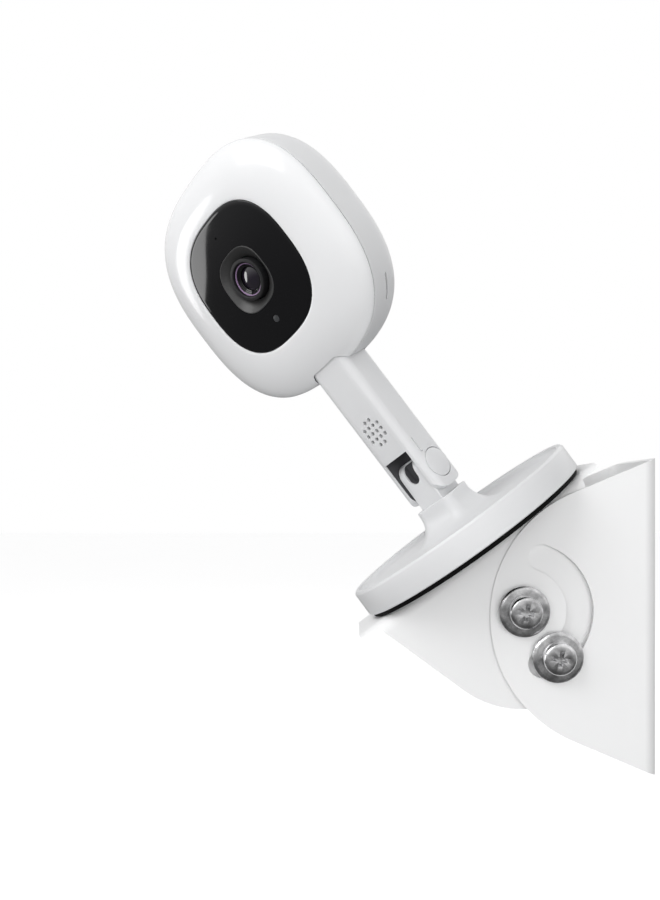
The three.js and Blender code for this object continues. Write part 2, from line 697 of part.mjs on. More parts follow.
place(cameraGroup, "hinge_pin", makeHingePin(), steel());
for (const [sideName, side] of [["right", 1], ["left", -1]]) {
  place(cameraGroup, `hinge_cap_${sideName}`, makeHingeCap(side), greySatin());
  place(cameraGroup, `hinge_wave_washer_${sideName}`, makeWaveWasher(side), steel());
}

// ---------------------------------------------------------------- stem

const STEM_TOP = HEAD_RISE - STEM_IN_HEAD;
const STEM_FRONT = STEM_DEPTH / 2;
const STEM_INSIDE = STEM_FRONT - STEM_WALL;
const CAVITY_BOTTOM = FORK_TOP + FORK_ROOF;
const SOCKET_BACK = 1.8; // socket's middle behind the stem's axis

// Calls action with the place of each sound hole: a grid without its four corners.
function grille(action) {
  const lastColumn = GRILLE_COLUMNS - 1;
  const lastRow = GRILLE_ROWS - 1;
  for (let column = 0; column <= lastColumn; column += 1) {
    for (let row = 0; row <= lastRow; row += 1) {
      const corner = (column === 0 || column === lastColumn) && (row === 0 || row === lastRow);
      const x = (column - lastColumn / 2) * GRILLE_PITCH;
      const z = GRILLE_RISE + (row - lastRow / 2) * GRILLE_PITCH;
      if (!corner) action(x, z);
    }
  }
}

function makeStemShell() {
  const outer = slab(roundedRectangle(STEM_WIDTH, STEM_DEPTH, STEM_CORNER), -WING_DROP, STEM_TOP);
  const tall = 2 * (STEM_TOP + WING_DROP + OVERSHOOT);
  const side = roundedRectangle(STEM_DEPTH + 0.02, tall, WING_CORNER, 0, tall / 2 - WING_DROP);
  const far = STEM_WIDTH;
  const profile = slab(side, -far, far, SIDEWAYS, 6);
  const cavityShape = roundedRectangle(
    STEM_WIDTH - 2 * STEM_WALL, STEM_DEPTH - 2 * STEM_WALL, STEM_CORNER - STEM_WALL);
  const cavity = slab(cavityShape, CAVITY_BOTTOM, STEM_TOP + OVERSHOOT, FLAT, 2);
  const forkHeight = FORK_TOP + 2 * WING_DROP;
  const fork = block(FORK_GAP_WIDTH, 2 * STEM_DEPTH, forkHeight, 0, 0, FORK_TOP - forkHeight / 2);
  const socketHole = block(SOCKET_WIDTH + 2 * GAP, SOCKET_DEPTH + 2 * GAP, 2 * FORK_ROOF,
    0, SOCKET_BACK, FORK_TOP + FORK_ROOF / 2);
  const pinBore = bar(PIN_RADIUS + GAP / 2, -far, far, SIDEWAYS, 0, 0, COARSE);
  let stem = cut(outer.intersect(profile), cavity, fork, socketHole, pinBore);
  const seat = STEM_WIDTH / 2 - HINGE_CAP_THICKNESS - GAP;
  const seatRadius = HINGE_CAP_RADIUS + GAP;
  const grooveX = STEM_WIDTH / 2;
  const grooveY = -(STEM_FRONT - STEM_CORNER);
  const grooveZ = CORNER_GROOVE_START + CORNER_GROOVE_LENGTH / 2;
  for (const sign of [-1, 1]) {
    const [from, to] = sign > 0 ? [seat, far] : [-far, -seat];
    stem = stem.subtract(bar(seatRadius, from, to, SIDEWAYS, 0, 0, MEDIUM));
    const groove = block(2 * GROOVE_WIDTH, GROOVE_WIDTH, CORNER_GROOVE_LENGTH);
    stem = stem.subtract(groove.translate([sign * grooveX, grooveY, grooveZ]));
  }
  grille((x, z) => {
    const hole = bar(GRILLE_HOLE_RADIUS, STEM_INSIDE - OVERSHOOT, STEM_FRONT + OVERSHOOT, FACING, x, z, TINY);
    stem = stem.subtract(hole);
  });
  return stem;
}

function makeSpeakerGasket() {
  const shape = roundedRectangle(SPEAKER_WIDTH, SPEAKER_HEIGHT, 2, 0, GRILLE_RISE);
  const inner = roundedRectangle(
    SPEAKER_WIDTH - 2 * GASKET_BORDER, SPEAKER_HEIGHT - 2 * GASKET_BORDER, 1.2, 0, GRILLE_RISE);
  const front = STEM_INSIDE - GAP;
  const back = front - GASKET_THICKNESS;
  return slab(shape, back, front, FACING, 3).subtract(slab(inner, back - 1, front + 1, FACING, 3));
}

function makeSpeaker() {
  const front = STEM_INSIDE - 2 * GAP - GASKET_THICKNESS;
  const frame = slab(roundedRectangle(SPEAKER_WIDTH, SPEAKER_HEIGHT, 2, 0, GRILLE_RISE),
    front - SPEAKER_THICKNESS, front, FACING, 3);
  const conePlace = [[0, 0], [4.2, 0], [3, -0.9], [1.4, -1.1], [0, -0.6]];
  const dish = turned(conePlace.map(([radius, height]) => [radius, height + OVERSHOOT * 0.01]), COARSE);
  return frame.subtract(dish.rotate([90, 0, 0]).translate([0, -front, GRILLE_RISE]));
}

function makeUsbSocket() {
  const low = FORK_TOP + GAP;
  const shape = roundedRectangle(SOCKET_WIDTH, SOCKET_DEPTH, 1.2, 0, SOCKET_BACK);
  const mouth = roundedRectangle(
    SOCKET_WIDTH - 2 * SOCKET_WALL, SOCKET_DEPTH - 2 * SOCKET_WALL, 0.9, 0, SOCKET_BACK);
  const tongue = block(5, 0.7, SOCKET_LENGTH - 1.4, 0, SOCKET_BACK, low + SOCKET_LENGTH / 2 + 0.2);
  const can = slab(shape, low, low + SOCKET_LENGTH, FLAT, 2);
  return join(can.subtract(slab(mouth, low - 1, low + SOCKET_LENGTH - 1, FLAT, 2)), tongue);
}

// Wires from the socket and the speaker up into the head.
function makeHarness() {
  const back = STEM_INSIDE - HARNESS_RADIUS - 4 * GAP;
  const start = FORK_TOP + GAP + SOCKET_LENGTH + GAP;
  const path = new THREE.CatmullRomCurve3([
    axisVector(0, SOCKET_BACK, start),
    axisVector(0, (SOCKET_BACK + back) / 2, start + 6),
    axisVector(0, back, start + 14),
    axisVector(0, back, STEM_TOP - 6),
    axisVector(1.5, back, STEM_TOP + 4),
  ]);
  const section = circle(HARNESS_RADIUS);
  const options = { steps: 20, curveSegments: 4, bevelEnabled: false, extrudePath: path };
  return solid(new THREE.ExtrudeGeometry(section, options));
}

place(cameraGroup, "stem_shell", makeStemShell(), greySatin());
place(cameraGroup, "speaker_gasket", makeSpeakerGasket(), rubber());
place(cameraGroup, "speaker", makeSpeaker(), blackMatte());
place(cameraGroup, "usb_socket", makeUsbSocket(), steel());
place(cameraGroup, "wire_harness", makeHarness(), blackMatte());

// ---------------------------------------------------------------- camera head

// Head pieces are turned about the lens axis with height = distance in front of the stem's
// axis, then stood up so that their front faces -Y.
const faceForward = (body) => body.rotate([90, 0, 0]);

// Sections are round at the lens and grow squarer out to the edge of the head.
function headSection(radius, angle) {
  const face = THREE.MathUtils.smoothstep(radius, BARREL_RADIUS, FUNNEL_MOUTH);
  const rim = THREE.MathUtils.clamp((radius - FACE_RADIUS) / (HEAD_RADIUS - FACE_RADIUS), 0, 1);
  const squareness = 2 + (FACE_SQUARENESS - 2) * face + (HEAD_SQUARENESS - FACE_SQUARENESS) * rim;
  return squareRadius(radius, angle, squareness);
}

// A quarter of a full ellipse from [outerRadius, 0] to [innerRadius, height].
function shoulder(outerRadius, innerRadius, height, fullness, steps) {
  const points = [];
  for (let step = 0; step <= steps; step += 1) {
    const angle = (step / steps) * (Math.PI / 2);
    const across = Math.cos(angle) ** (2 / fullness);
    const up = Math.sin(angle) ** (2 / fullness);
    points.push([innerRadius + (outerRadius - innerRadius) * across, height * up]);
  }
  return points;
}

const FACE_SEAT = FACE_RADIUS + GAP / 2;
const LEDGE_INNER = FACE_RADIUS - FACE_LEDGE;
const LEDGE_FRONT = FRONT_DEPTH - FACE_THICKNESS - GAP;

// The stem's outline with clearance, for the opening in the underside of the head.
function stemOpening() {
  const shape = roundedRectangle(STEM_WIDTH + 2 * RUNNING_GAP, STEM_DEPTH + 2 * RUNNING_GAP,
    STEM_CORNER + RUNNING_GAP);
  return slab(shape, -HEAD_RADIUS - OVERSHOOT, -STEM_IN_HEAD + OVERSHOOT);
}

function headScrewPlaces() {
  const reach = HEAD_SCREW_REACH;
  return [[-reach, reach], [reach, reach], [reach, -reach], [-reach, -reach]];
}

// The front shell's outline slides from the face plate's centre down to the rear shell's.
function frontDrop(radius) {
  return SHELL_DROP * THREE.MathUtils.clamp((radius - FACE_RADIUS) / (HEAD_RADIUS - FACE_RADIUS), 0, 1);
}

function makeFrontShell() {
  const low = PARTING_FORWARD + PART_LINE / 2;
  const outer = shoulder(HEAD_RADIUS, FACE_SEAT, FRONT_DEPTH - low, SHOULDER_FULLNESS, 9);
  const inner = shoulder(HEAD_RADIUS - HEAD_WALL, LEDGE_INNER, LEDGE_FRONT - HEAD_WALL - low,
    SHOULDER_FULLNESS, 5);
  const profile = [
    ...outer.map(([radius, height]) => [radius, height + low]),
    [FACE_SEAT, LEDGE_FRONT],
    [LEDGE_INNER, LEDGE_FRONT],
    ...inner.reverse().map(([radius, height]) => [radius, height + low]),
  ];
  let shell = faceForward(turned(profile, FINE, headSection, frontDrop));
  for (const [x, z] of headScrewPlaces()) {
    shell = shell.add(bar(HEAD_BOSS_RADIUS, 0, LEDGE_FRONT - HEAD_WALL / 2, FACING, x, z, TINY));
    const pilot = bar(HEAD_SCREW_RADIUS + GAP / 2, -OVERSHOOT, FRONT_DEPTH / 2 - 1, FACING, x, z, TINY);
    shell = shell.subtract(pilot);
  }
  return shell.subtract(stemOpening());
}

// Straight sides and a round corner to a flat back, set in by a wall.
function rearProfile(wall, steps) {
  const back = REAR_DEPTH - REAR_CORNER;
  const points = [[HEAD_RADIUS - wall, PARTING_FORWARD - PART_LINE / 2]];
  for (let step = 0; step <= steps; step += 1) {
    const angle = (step / steps) * (Math.PI / 2);
    const corner = REAR_CORNER - wall;
    points.push([HEAD_RADIUS - REAR_CORNER + corner * Math.cos(angle), -back - corner * Math.sin(angle)]);
  }
  return [...points, [0, -REAR_DEPTH + wall]];
}

// The light strip's window: a band just behind the parting line, across the top.
function glowWindow(shrink) {
  const width = 2 * (GLOW_HALF_WIDTH - shrink);
  const depth = GLOW_WIDTH - 2 * shrink;
  const middle = GLOW_BACK + GLOW_WIDTH / 2 - PARTING_FORWARD;
  const shape = roundedRectangle(width, depth, depth / 2, 0, middle);
  return slab(shape, HEAD_RADIUS - 3 * HEAD_WALL, HEAD_RADIUS + OVERSHOOT, FLAT, 5);
}

function makeRearBody() {
  const profile = [...rearProfile(0, 9), ...rearProfile(HEAD_WALL, 5).reverse()];
  return faceForward(turned(profile, FINE, headSection, () => SHELL_DROP));
}

function makeRearShell() {
  let shell = cut(makeRearBody(), stemOpening(), glowWindow(0));
  const ventShape = roundedRectangle(VENT_WIDTH, VENT_LENGTH, VENT_WIDTH / 2, VENT_BACK, -VENT_DROP);
  const inside = HEAD_RADIUS * 0.6;
  const outside = HEAD_RADIUS + OVERSHOOT;
  shell = shell.subtract(slab(ventShape, inside, outside, SIDEWAYS, 3));
  return shell.subtract(slab(ventShape, -outside, -inside, SIDEWAYS, 3));
}

function makeGlowStrip() {
  return makeRearBody().intersect(glowWindow(GAP));
}

// Height of the face plate's front at a radius: a shallow crown.
function faceHeight(radius) {
  return FRONT_DEPTH + FACE_CROWN * (1 - (radius / FACE_RADIUS) ** 2);
}

function makeFacePlate() {
  const hole = FUNNEL_MOUTH + GAP;
  const radii = [hole, 16, 20, 23.5, FACE_RADIUS - 0.5];
  const front = radii.map((radius) => [radius, faceHeight(radius)]);
  const back = [...radii].reverse().map((radius) => [radius, faceHeight(radius) - FACE_THICKNESS]);
  const edge = [
    [FACE_RADIUS, FRONT_DEPTH - 0.35],
    [FACE_RADIUS, FRONT_DEPTH - FACE_THICKNESS],
  ];
  const plate = faceForward(turned([...front, ...edge, ...back], FINE, headSection));
  const mic = bar(MIC_HOLE_RADIUS, 0, 2 * FRONT_DEPTH, FACING, 0, MIC_RISE, TINY);
  const sensor = bar(SENSOR_WINDOW_RADIUS + 0.1, 0, 2 * FRONT_DEPTH, FACING, 0, -SENSOR_DROP, COARSE);
  return cut(plate, mic, sensor);
}

const FUNNEL_TOP = faceHeight(FUNNEL_MOUTH);
const FUNNEL_BOTTOM = FUNNEL_TOP - FUNNEL_DEPTH;

function makeLensBezel() {
  const profile = [
    [FUNNEL_MOUTH, FUNNEL_TOP],
    [FUNNEL_MOUTH, FUNNEL_TOP - FUNNEL_WALL],
    [FUNNEL_THROAT + FUNNEL_WALL, FUNNEL_BOTTOM - FUNNEL_WALL],
    [FUNNEL_THROAT, FUNNEL_BOTTOM - FUNNEL_WALL],
    [FUNNEL_THROAT, FUNNEL_BOTTOM],
    [FUNNEL_MOUTH - 0.5, FUNNEL_TOP],
  ];
  return faceForward(turned(profile, FINE, headSection));
}

const BARREL_STANDS = 2.9; // ahead of the foot of the funnel
const BARREL_FRONT = FUNNEL_BOTTOM + BARREL_STANDS;
const BARREL_BACK = BARREL_FRONT - BARREL_LENGTH;
const LENS_SEAT = BARREL_FRONT - BARREL_LIP;

function makeLensBarrel() {
  const bore = BARREL_RADIUS - BARREL_WALL;
  return faceForward(turned([
    [BARREL_RADIUS, BARREL_BACK],
    [BARREL_RADIUS, BARREL_FRONT - 0.3],
    [BARREL_RADIUS - 0.3, BARREL_FRONT],
    [bore + 0.3, BARREL_FRONT],
    [bore, LENS_SEAT],
    [bore, BARREL_BACK],
  ], MEDIUM));
}

function makeLensRing() {
  const outer = BARREL_RADIUS - BARREL_WALL - GAP;
  const back = LENS_SEAT - LENS_RING_THICKNESS;
  return faceForward(turned([
    [outer, back],
    [outer, LENS_SEAT],
    [outer - 0.8, LENS_SEAT],
    [LENS_RADIUS + GAP, LENS_SEAT - 0.8],
    [LENS_RADIUS + GAP, back],
  ], MEDIUM));
}

// A glass element with a domed front, centred on the lens axis.
function makeLensElement(radius, front, crown, thickness) {
  const points = [[0, front - thickness]];
  points.push([radius, front - thickness]);
  for (let step = 0; step <= 4; step += 1) {
    const share = 1 - step / 4;
    points.push([radius * share, front - crown * share ** 2]);
  }
  return faceForward(turned(points, COARSE));
}

const RING_BACK = LENS_SEAT - LENS_RING_THICKNESS;
const INNER_LENS_FRONT = RING_BACK - 1.6;
const IR_BOARD_SET_BACK = 4.2; // behind the edge of the face plate
const IR_BOARD_FRONT = FRONT_DEPTH - IR_BOARD_SET_BACK;
const IR_BOARD_BACK = IR_BOARD_FRONT - BOARD;
const LED_TOP = IR_BOARD_FRONT + GAP + 2;

function makeIrBoard() {
  const inner = BARREL_RADIUS + 1;
  const outer = LEDGE_INNER - 1.2;
  return faceForward(turned([
    [inner, IR_BOARD_BACK],
    [outer, IR_BOARD_BACK],
    [outer, IR_BOARD_FRONT],
    [inner, IR_BOARD_FRONT],
  ], MEDIUM));
}

function makeIrLed(x, z) {
  const low = IR_BOARD_FRONT + GAP;
  const led = turned([[0, low], [1.5, low], [1.5, low + 1], [1, LED_TOP - 0.3], [0, LED_TOP]], 12);
  return faceForward(led).translate([x, 0, z]);
}

place(headGroup, "front_shell", makeFrontShell(), whiteGloss());
place(headGroup, "rear_shell", makeRearShell(), greySatin());
place(headGroup, "night_light_strip", makeGlowStrip(), diffuser());
place(headGroup, "face_plate", makeFacePlate(), blackGloss());
place(headGroup, "lens_bezel", makeLensBezel(), blackGloss());
place(headGroup, "lens_barrel", makeLensBarrel(), blackMatte());
place(headGroup, "lens_ring", makeLensRing(), blackMatte());
place(headGroup, "lens_front_glass", makeLensElement(LENS_RADIUS, LENS_SEAT - 0.2, 0.9, 1.8), glass());
place(headGroup, "lens_inner_glass", makeLensElement(LENS_RADIUS + 0.6, INNER_LENS_FRONT, 0.7, 1.6), glass());
place(headGroup, "ir_board", makeIrBoard(), boardGreen());
[[1, 1], [-1, 1], [-1, -1], [1, -1]].forEach(([signX, signZ], index) => {
  place(headGroup, `ir_led_${index + 1}`, makeIrLed(signX * 12.5, signZ * 12.5), glass());
});

function makeSensorWindow() {
  const front = faceHeight(SENSOR_DROP) - 0.1;
  return bar(SENSOR_WINDOW_RADIUS, front - FACE_THICKNESS, front, FACING, 0, -SENSOR_DROP, COARSE);
}

function makeMicrophone() {
  return bar(1.9, IR_BOARD_FRONT + GAP, IR_BOARD_FRONT + GAP + 1.4, FACING, 0, MIC_RISE, 12);
}

// Boards lie flat behind the lens; places are distances behind the parting line.
const boardSlab = (width, height, front, thickness, x = 0, z = 0, corner = 1.5) =>
  slab(roundedRectangle(width, height, corner, x, z), -front - thickness, -front, FACING, 2);

const SENSOR_BOARD_FRONT = -BARREL_BACK + GAP;
const FRAME_FRONT = SENSOR_BOARD_FRONT + BOARD + 2 * GAP;
const FRAME_THICKNESS = 1.5;
const FRAME_HOLE = 10;
const FRAME_CLEARANCE = 5;
const MAIN_BOARD_FRONT = FRAME_FRONT + FRAME_THICKNESS + 1.5;
const PROCESSOR_FRONT = MAIN_BOARD_FRONT + BOARD + GAP;
const SINK_FRONT = PROCESSOR_FRONT + BOARD + GAP;
const SINK_PLATE = 1.4;
const FIN_HEIGHT = 3;

function makeImageSensor() {
  return boardSlab(8, 6.4, SENSOR_BOARD_FRONT - GAP - 1, 1, 0, 0, 0.3);
}

// A flat frame that carries the boards and is screwed to the front shell.
function makeInnerFrame() {
  const outer = HEAD_RADIUS - HEAD_WALL - FRAME_CLEARANCE;
  const ring = faceForward(turned([
    [FRAME_HOLE, -FRAME_FRONT - FRAME_THICKNESS],
    [outer, -FRAME_FRONT - FRAME_THICKNESS],
    [outer, -FRAME_FRONT],
    [FRAME_HOLE, -FRAME_FRONT],
  ], MEDIUM, headSection));
  let frame = ring.subtract(block(3 * STEM_WIDTH, STEM_DEPTH * 2, 20, 0, 0, -STEM_IN_HEAD - 8));
  for (const [x, z] of headScrewPlaces()) {
    frame = frame.subtract(bar(HEAD_SCREW_RADIUS + GAP, -3 * FRAME_FRONT - 6, 0, FACING, x, z, TINY));
  }
  return frame;
}

function makeHeadScrew(x, z) {
  const headFront = -FRAME_FRONT - FRAME_THICKNESS - GAP;
  const screw = turned([
    [0, headFront - 1],
    [HEAD_SCREW_HEAD_RADIUS, headFront - 1],
    [HEAD_SCREW_HEAD_RADIUS, headFront],
    [HEAD_SCREW_RADIUS, headFront],
    [HEAD_SCREW_RADIUS, FRONT_DEPTH / 2 - 2],
    [0, FRONT_DEPTH / 2 - 2],
  ], TINY);
  return faceForward(screw).translate([x, 0, z]);
}

function makeHeatSink() {
  const plateBack = SINK_FRONT + SINK_PLATE;
  let sink = boardSlab(24, 24, SINK_FRONT, SINK_PLATE, 0, 2);
  for (let fin = -2; fin <= 2; fin += 1) {
    sink = sink.add(block(1.2, FIN_HEIGHT + 0.5, 22, fin * 5, plateBack + FIN_HEIGHT / 2 - 0.25, 2));
  }
  return sink;
}

// Stands on edge behind the inner frame, under the light strip.
function makeNightLightBoard() {
  const depth = 2.4;
  const middle = FRAME_FRONT + FRAME_THICKNESS + GAP + depth / 2;
  const under = HEAD_RADIUS - 3 * HEAD_WALL - GAP - BOARD / 2;
  return block(1.5 * GLOW_HALF_WIDTH, depth, BOARD, 0, middle, under);
}

// Ties the stem's top end to the head's inside.
function makeNeckBracket() {
  const low = -STEM_IN_HEAD + GAP;
  const shape = roundedRectangle(STEM_WIDTH + 5, 12, 2);
  const wires = block(8, 5, 10, 1, STEM_INSIDE - 2.5, low);
  return slab(shape, low, low + 1.5).subtract(wires);
}

place(headGroup, "light_sensor_window", makeSensorWindow(), finish(0x4a4d50, 0.3));
place(headGroup, "microphone", makeMicrophone(), steel());
place(headGroup, "image_sensor", makeImageSensor(), glass());
place(headGroup, "image_sensor_board", boardSlab(22, 22, SENSOR_BOARD_FRONT, BOARD), boardGreen());
place(headGroup, "inner_frame", makeInnerFrame(), blackMatte());
place(headGroup, "main_board", boardSlab(48, 44, MAIN_BOARD_FRONT, BOARD, 0, 2), boardGreen());
place(headGroup, "processor", boardSlab(14, 14, PROCESSOR_FRONT, BOARD, 0, 2, 0.4), blackMatte());
place(headGroup, "heat_sink", makeHeatSink(), aluminium());
place(headGroup, "wifi_antenna", boardSlab(26, 4, MAIN_BOARD_FRONT, 0.6, 0, 29), boardGreen());
place(headGroup, "night_light_board", makeNightLightBoard(), boardGreen());
place(headGroup, "neck_bracket", makeNeckBracket(), steel());
headScrewPlaces().forEach(([x, z], index) => {
  place(headGroup, `head_screw_${index + 1}`, makeHeadScrew(x, z), steel());
});

export default product;
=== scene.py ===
"""Baby monitor camera on a round stand and a two-piece steel wall bracket.

The CAD frame gives the places and the moving bodies. Each operator here makes one
piece, or one group of like pieces, in its place on the frame.
"""
import json
import math

import bpy
from mathutils import Matrix, Vector


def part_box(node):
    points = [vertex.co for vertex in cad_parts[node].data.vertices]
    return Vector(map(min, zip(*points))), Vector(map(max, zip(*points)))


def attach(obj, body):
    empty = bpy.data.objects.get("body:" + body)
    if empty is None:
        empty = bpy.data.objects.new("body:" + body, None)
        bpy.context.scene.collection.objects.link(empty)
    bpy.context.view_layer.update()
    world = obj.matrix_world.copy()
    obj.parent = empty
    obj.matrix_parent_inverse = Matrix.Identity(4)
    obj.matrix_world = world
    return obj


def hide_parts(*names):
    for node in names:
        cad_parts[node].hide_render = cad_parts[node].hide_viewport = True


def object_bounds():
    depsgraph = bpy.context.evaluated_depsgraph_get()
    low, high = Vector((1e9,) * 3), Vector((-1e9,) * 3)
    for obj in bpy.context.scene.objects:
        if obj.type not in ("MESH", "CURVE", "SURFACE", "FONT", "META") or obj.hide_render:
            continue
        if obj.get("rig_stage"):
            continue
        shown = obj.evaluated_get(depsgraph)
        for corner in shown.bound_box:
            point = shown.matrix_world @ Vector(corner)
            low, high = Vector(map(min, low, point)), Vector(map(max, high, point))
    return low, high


bl_info = {
    "name": "Baby Monitor Camera Maker",
    "version": (1, 0, 0),
    "blender": (4, 5, 0),
    "location": "3D View > Sidebar > Monitor",
    "description": "Makes the shells, lens, stem, stand, bracket and stage of a nursery camera",
    "category": "Object",
}

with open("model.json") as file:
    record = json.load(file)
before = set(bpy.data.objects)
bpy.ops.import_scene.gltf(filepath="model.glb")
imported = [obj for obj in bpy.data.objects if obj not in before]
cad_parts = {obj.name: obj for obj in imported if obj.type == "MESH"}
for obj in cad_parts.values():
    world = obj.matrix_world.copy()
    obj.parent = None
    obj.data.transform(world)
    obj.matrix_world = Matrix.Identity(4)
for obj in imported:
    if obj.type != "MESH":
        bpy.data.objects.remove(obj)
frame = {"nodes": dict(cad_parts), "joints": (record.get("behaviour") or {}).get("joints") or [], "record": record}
NODES = frame["nodes"]
MM = 0.001

# ---- places from the frame

UP = Vector((0, 0, 1))
ACROSS = Vector((1, 0, 0))


def joint_named(name):
    """The frame's joint of that name."""
    return next(joint for joint in frame["joints"] if joint["name"] == name)


def middle(node):
    """Middle of a node's box at rest."""
    low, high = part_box(node)
    return (Vector(low) + Vector(high)) / 2


def place_from(origin, across, up):
    """Matrix of a right-handed place whose +X is across and whose +Z is up."""
    back = up.cross(across)
    matrix = Matrix((across, back, up)).transposed().to_4x4()
    matrix.translation = origin
    return matrix


def span(node, place, axis):
    """Lowest and highest coordinate of a node along one axis of a place."""
    inverse = place.inverted()
    values = [(inverse @ vertex.co)[axis] for vertex in NODES[node].data.vertices]
    return min(values), max(values)


HINGE_POINT = Vector(joint_named("camera_tilt")["pos_m"])
HINGE_AXIS = Vector(joint_named("camera_tilt")["axis"]).normalized()
PIVOT_POINT = Vector(joint_named("bracket_tilt")["pos_m"])
PLATE_UP = Vector((0, -HINGE_AXIS.z, HINGE_AXIS.y)).normalized()
STAND_AT_HINGE = place_from(HINGE_POINT, HINGE_AXIS, PLATE_UP)
PAD_LOW = span("rubber_pad", STAND_AT_HINGE, 2)[0]
STAND = place_from(HINGE_POINT + PLATE_UP * PAD_LOW, HINGE_AXIS, PLATE_UP)
LENS_MIDDLE = middle("lens_front_glass")
LENS_AXIS = (LENS_MIDDLE - middle("image_sensor_board")).normalized()
CAMERA_UP = LENS_AXIS.cross(HINGE_AXIS).normalized()
STEM = place_from(HINGE_POINT, HINGE_AXIS, CAMERA_UP)
HEAD_RISE = (LENS_MIDDLE - HINGE_POINT).dot(CAMERA_UP)
HEAD = place_from(HINGE_POINT + CAMERA_UP * HEAD_RISE, HINGE_AXIS, CAMERA_UP)
# Head pieces are turned about +Z and then faced forward along the lens axis.
LENS = HEAD @ Matrix.Rotation(math.pi / 2, 4, "X")

# ---- sizes of the pieces, metres

GAP = 0.25 * MM
DISC_RADIUS = span("base_shell", STAND, 0)[1]
DISC_HEIGHT = 11.7 * MM
DISC_BOTTOM = span("base_shell", STAND, 2)[0]
DISC_WALL = 2.2 * MM
DISH_DEPTH = 2.3 * MM
RIM_CHAMFER = 0.8 * MM
RIM_WIDTH = 1.6 * MM
LEDGE = DISC_HEIGHT + 9.7 * MM
FLARE_REACH = 10 * MM
FLARE_TOP_STRAIGHT = 1.6 * MM
HINGE_RISE = -PAD_LOW
TONGUE_TOP = 6.4 * MM
TONGUE_WIDTH = 11.6 * MM
TONGUE_DEPTH = 12.8 * MM
TONGUE_CORNER = 5 * MM
NOTCH_WIDTH = 5.2 * MM
NOTCH_DROP = 8.8 * MM
NOTCH_BACK = -2.85 * MM
STEM_WIDTH = 18.7 * MM
STEM_DEPTH = 16.2 * MM
STEM_CORNER = 3.8 * MM
STEM_WALL = 1.8 * MM
STEM_LOW, STEM_TOP = span("stem_shell", STEM, 2)
WING_CORNER = 6 * MM
FORK_TOP = 10.2 * MM
FORK_ROOF = 2.6 * MM
FORK_GAP = 12.4 * MM
CAP_RADIUS = span("hinge_cap_right", STEM, 1)[1]
CAP_SEAT = 1.75 * MM
PIN_RADIUS = 2 * MM
PIN_GAP = 0.12 * MM
CAP_GAP = 0.28 * MM
WAVE_SEAT_RADIUS = 4.45 * MM
WAVE_SEAT_DEPTH = 0.6 * MM
SOCKET_WIDTH = 9.4 * MM
SOCKET_DEPTH = 3.7 * MM
SOCKET_BACK = 1.8 * MM
GRILLE_RISE = 22.8 * MM
GRILLE_PITCH = 2.5 * MM
GRILLE_HOLE = 0.78 * MM
HEAD_RADIUS = span("front_shell", HEAD, 0)[1]
HEAD_SQUARENESS = 2.73
SHELL_DROP = 1 * MM
PARTING_FORWARD = 4.1 * MM
FACE_RADIUS = span("face_plate", HEAD, 0)[1]
FACE_SQUARENESS = 2.63
FRONT_DEPTH = 12.8 * MM
FACE_CROWN = 1.6 * MM
FACE_LEDGE = 3.4 * MM
FACE_THICKNESS = 1.5 * MM
REAR_DEPTH = span("rear_shell", HEAD, 1)[1]
REAR_CORNER = 12 * MM
HEAD_WALL = 2 * MM
PART_LINE = 0.42 * MM
SHOULDER_FULLNESS = 1.74
FUNNEL_MOUTH = 11.6 * MM
FUNNEL_DEPTH = 3.2 * MM
FUNNEL_THROAT = 8.2 * MM
BARREL_RADIUS = 7.9 * MM
BARREL_WALL = 1.6 * MM
BARREL_LIP = 1.3 * MM
LENS_RADIUS = 4.2 * MM
BARREL_LENGTH = 13 * MM
BARREL_STANDS = 2.9 * MM
MIC_RADIUS = 0.45 * MM
MIC_RISE = 19 * MM
SENSOR_DROP = 17.7 * MM
SENSOR_RADIUS = 1.4 * MM
STEM_OPENING_TOP = -33 * MM
VENT_LENGTH = 7.3 * MM
VENT_WIDTH = 1 * MM
VENT_BACK = 4 * MM
VENT_DROP = 34.1 * MM
GLOW_HALF_WIDTH = 15 * MM
GLOW_BACK = 1 * MM
GLOW_WIDTH = 3 * MM
SCREW_RADIUS = 3 * MM
SCREW_HEAD_RADIUS = 6 * MM
SCREW_HEAD_HEIGHT = 4.2 * MM
WASHER_RADIUS = 9 * MM
CROSS_SPAN = 7.2 * MM
CROSS_WIDTH = 1.75 * MM
CROSS_DEPTH = 2.2 * MM

SIDES = (("right", 1), ("left", -1))
ROUND = 128
SMALL_ROUND = 64
CORNER_STEPS = 10

# ---- modelling by hand, in code


def deselect():
    """Leaves object mode with nothing selected."""
    if bpy.context.object and bpy.context.object.mode != "OBJECT":
        bpy.ops.object.mode_set(mode="OBJECT")
    bpy.ops.object.select_all(action="DESELECT")


def activate(piece):
    """Makes one object the only selected and the active one."""
    deselect()
    piece.select_set(True)
    bpy.context.view_layer.objects.active = piece


def edit(piece, select_all=True):
    """Opens a piece in edit mode."""
    activate(piece)
    bpy.ops.object.mode_set(mode="EDIT")
    bpy.ops.mesh.select_all(action="SELECT" if select_all else "DESELECT")


def close_edit():
    """Welds the open piece's doubles, turns its faces out and returns to object mode."""
    bpy.ops.mesh.select_all(action="SELECT")
    bpy.ops.mesh.remove_doubles(threshold=1e-6)
    bpy.ops.mesh.normals_make_consistent(inside=False)
    bpy.ops.object.mode_set(mode="OBJECT")


def settle(piece, place=Matrix()):
    """Puts the object's own placing and the given place into its mesh."""
    activate(piece)
    bpy.ops.object.transform_apply(location=True, rotation=True, scale=True)
    piece.data.transform(place)
    piece.data.update()
    return piece


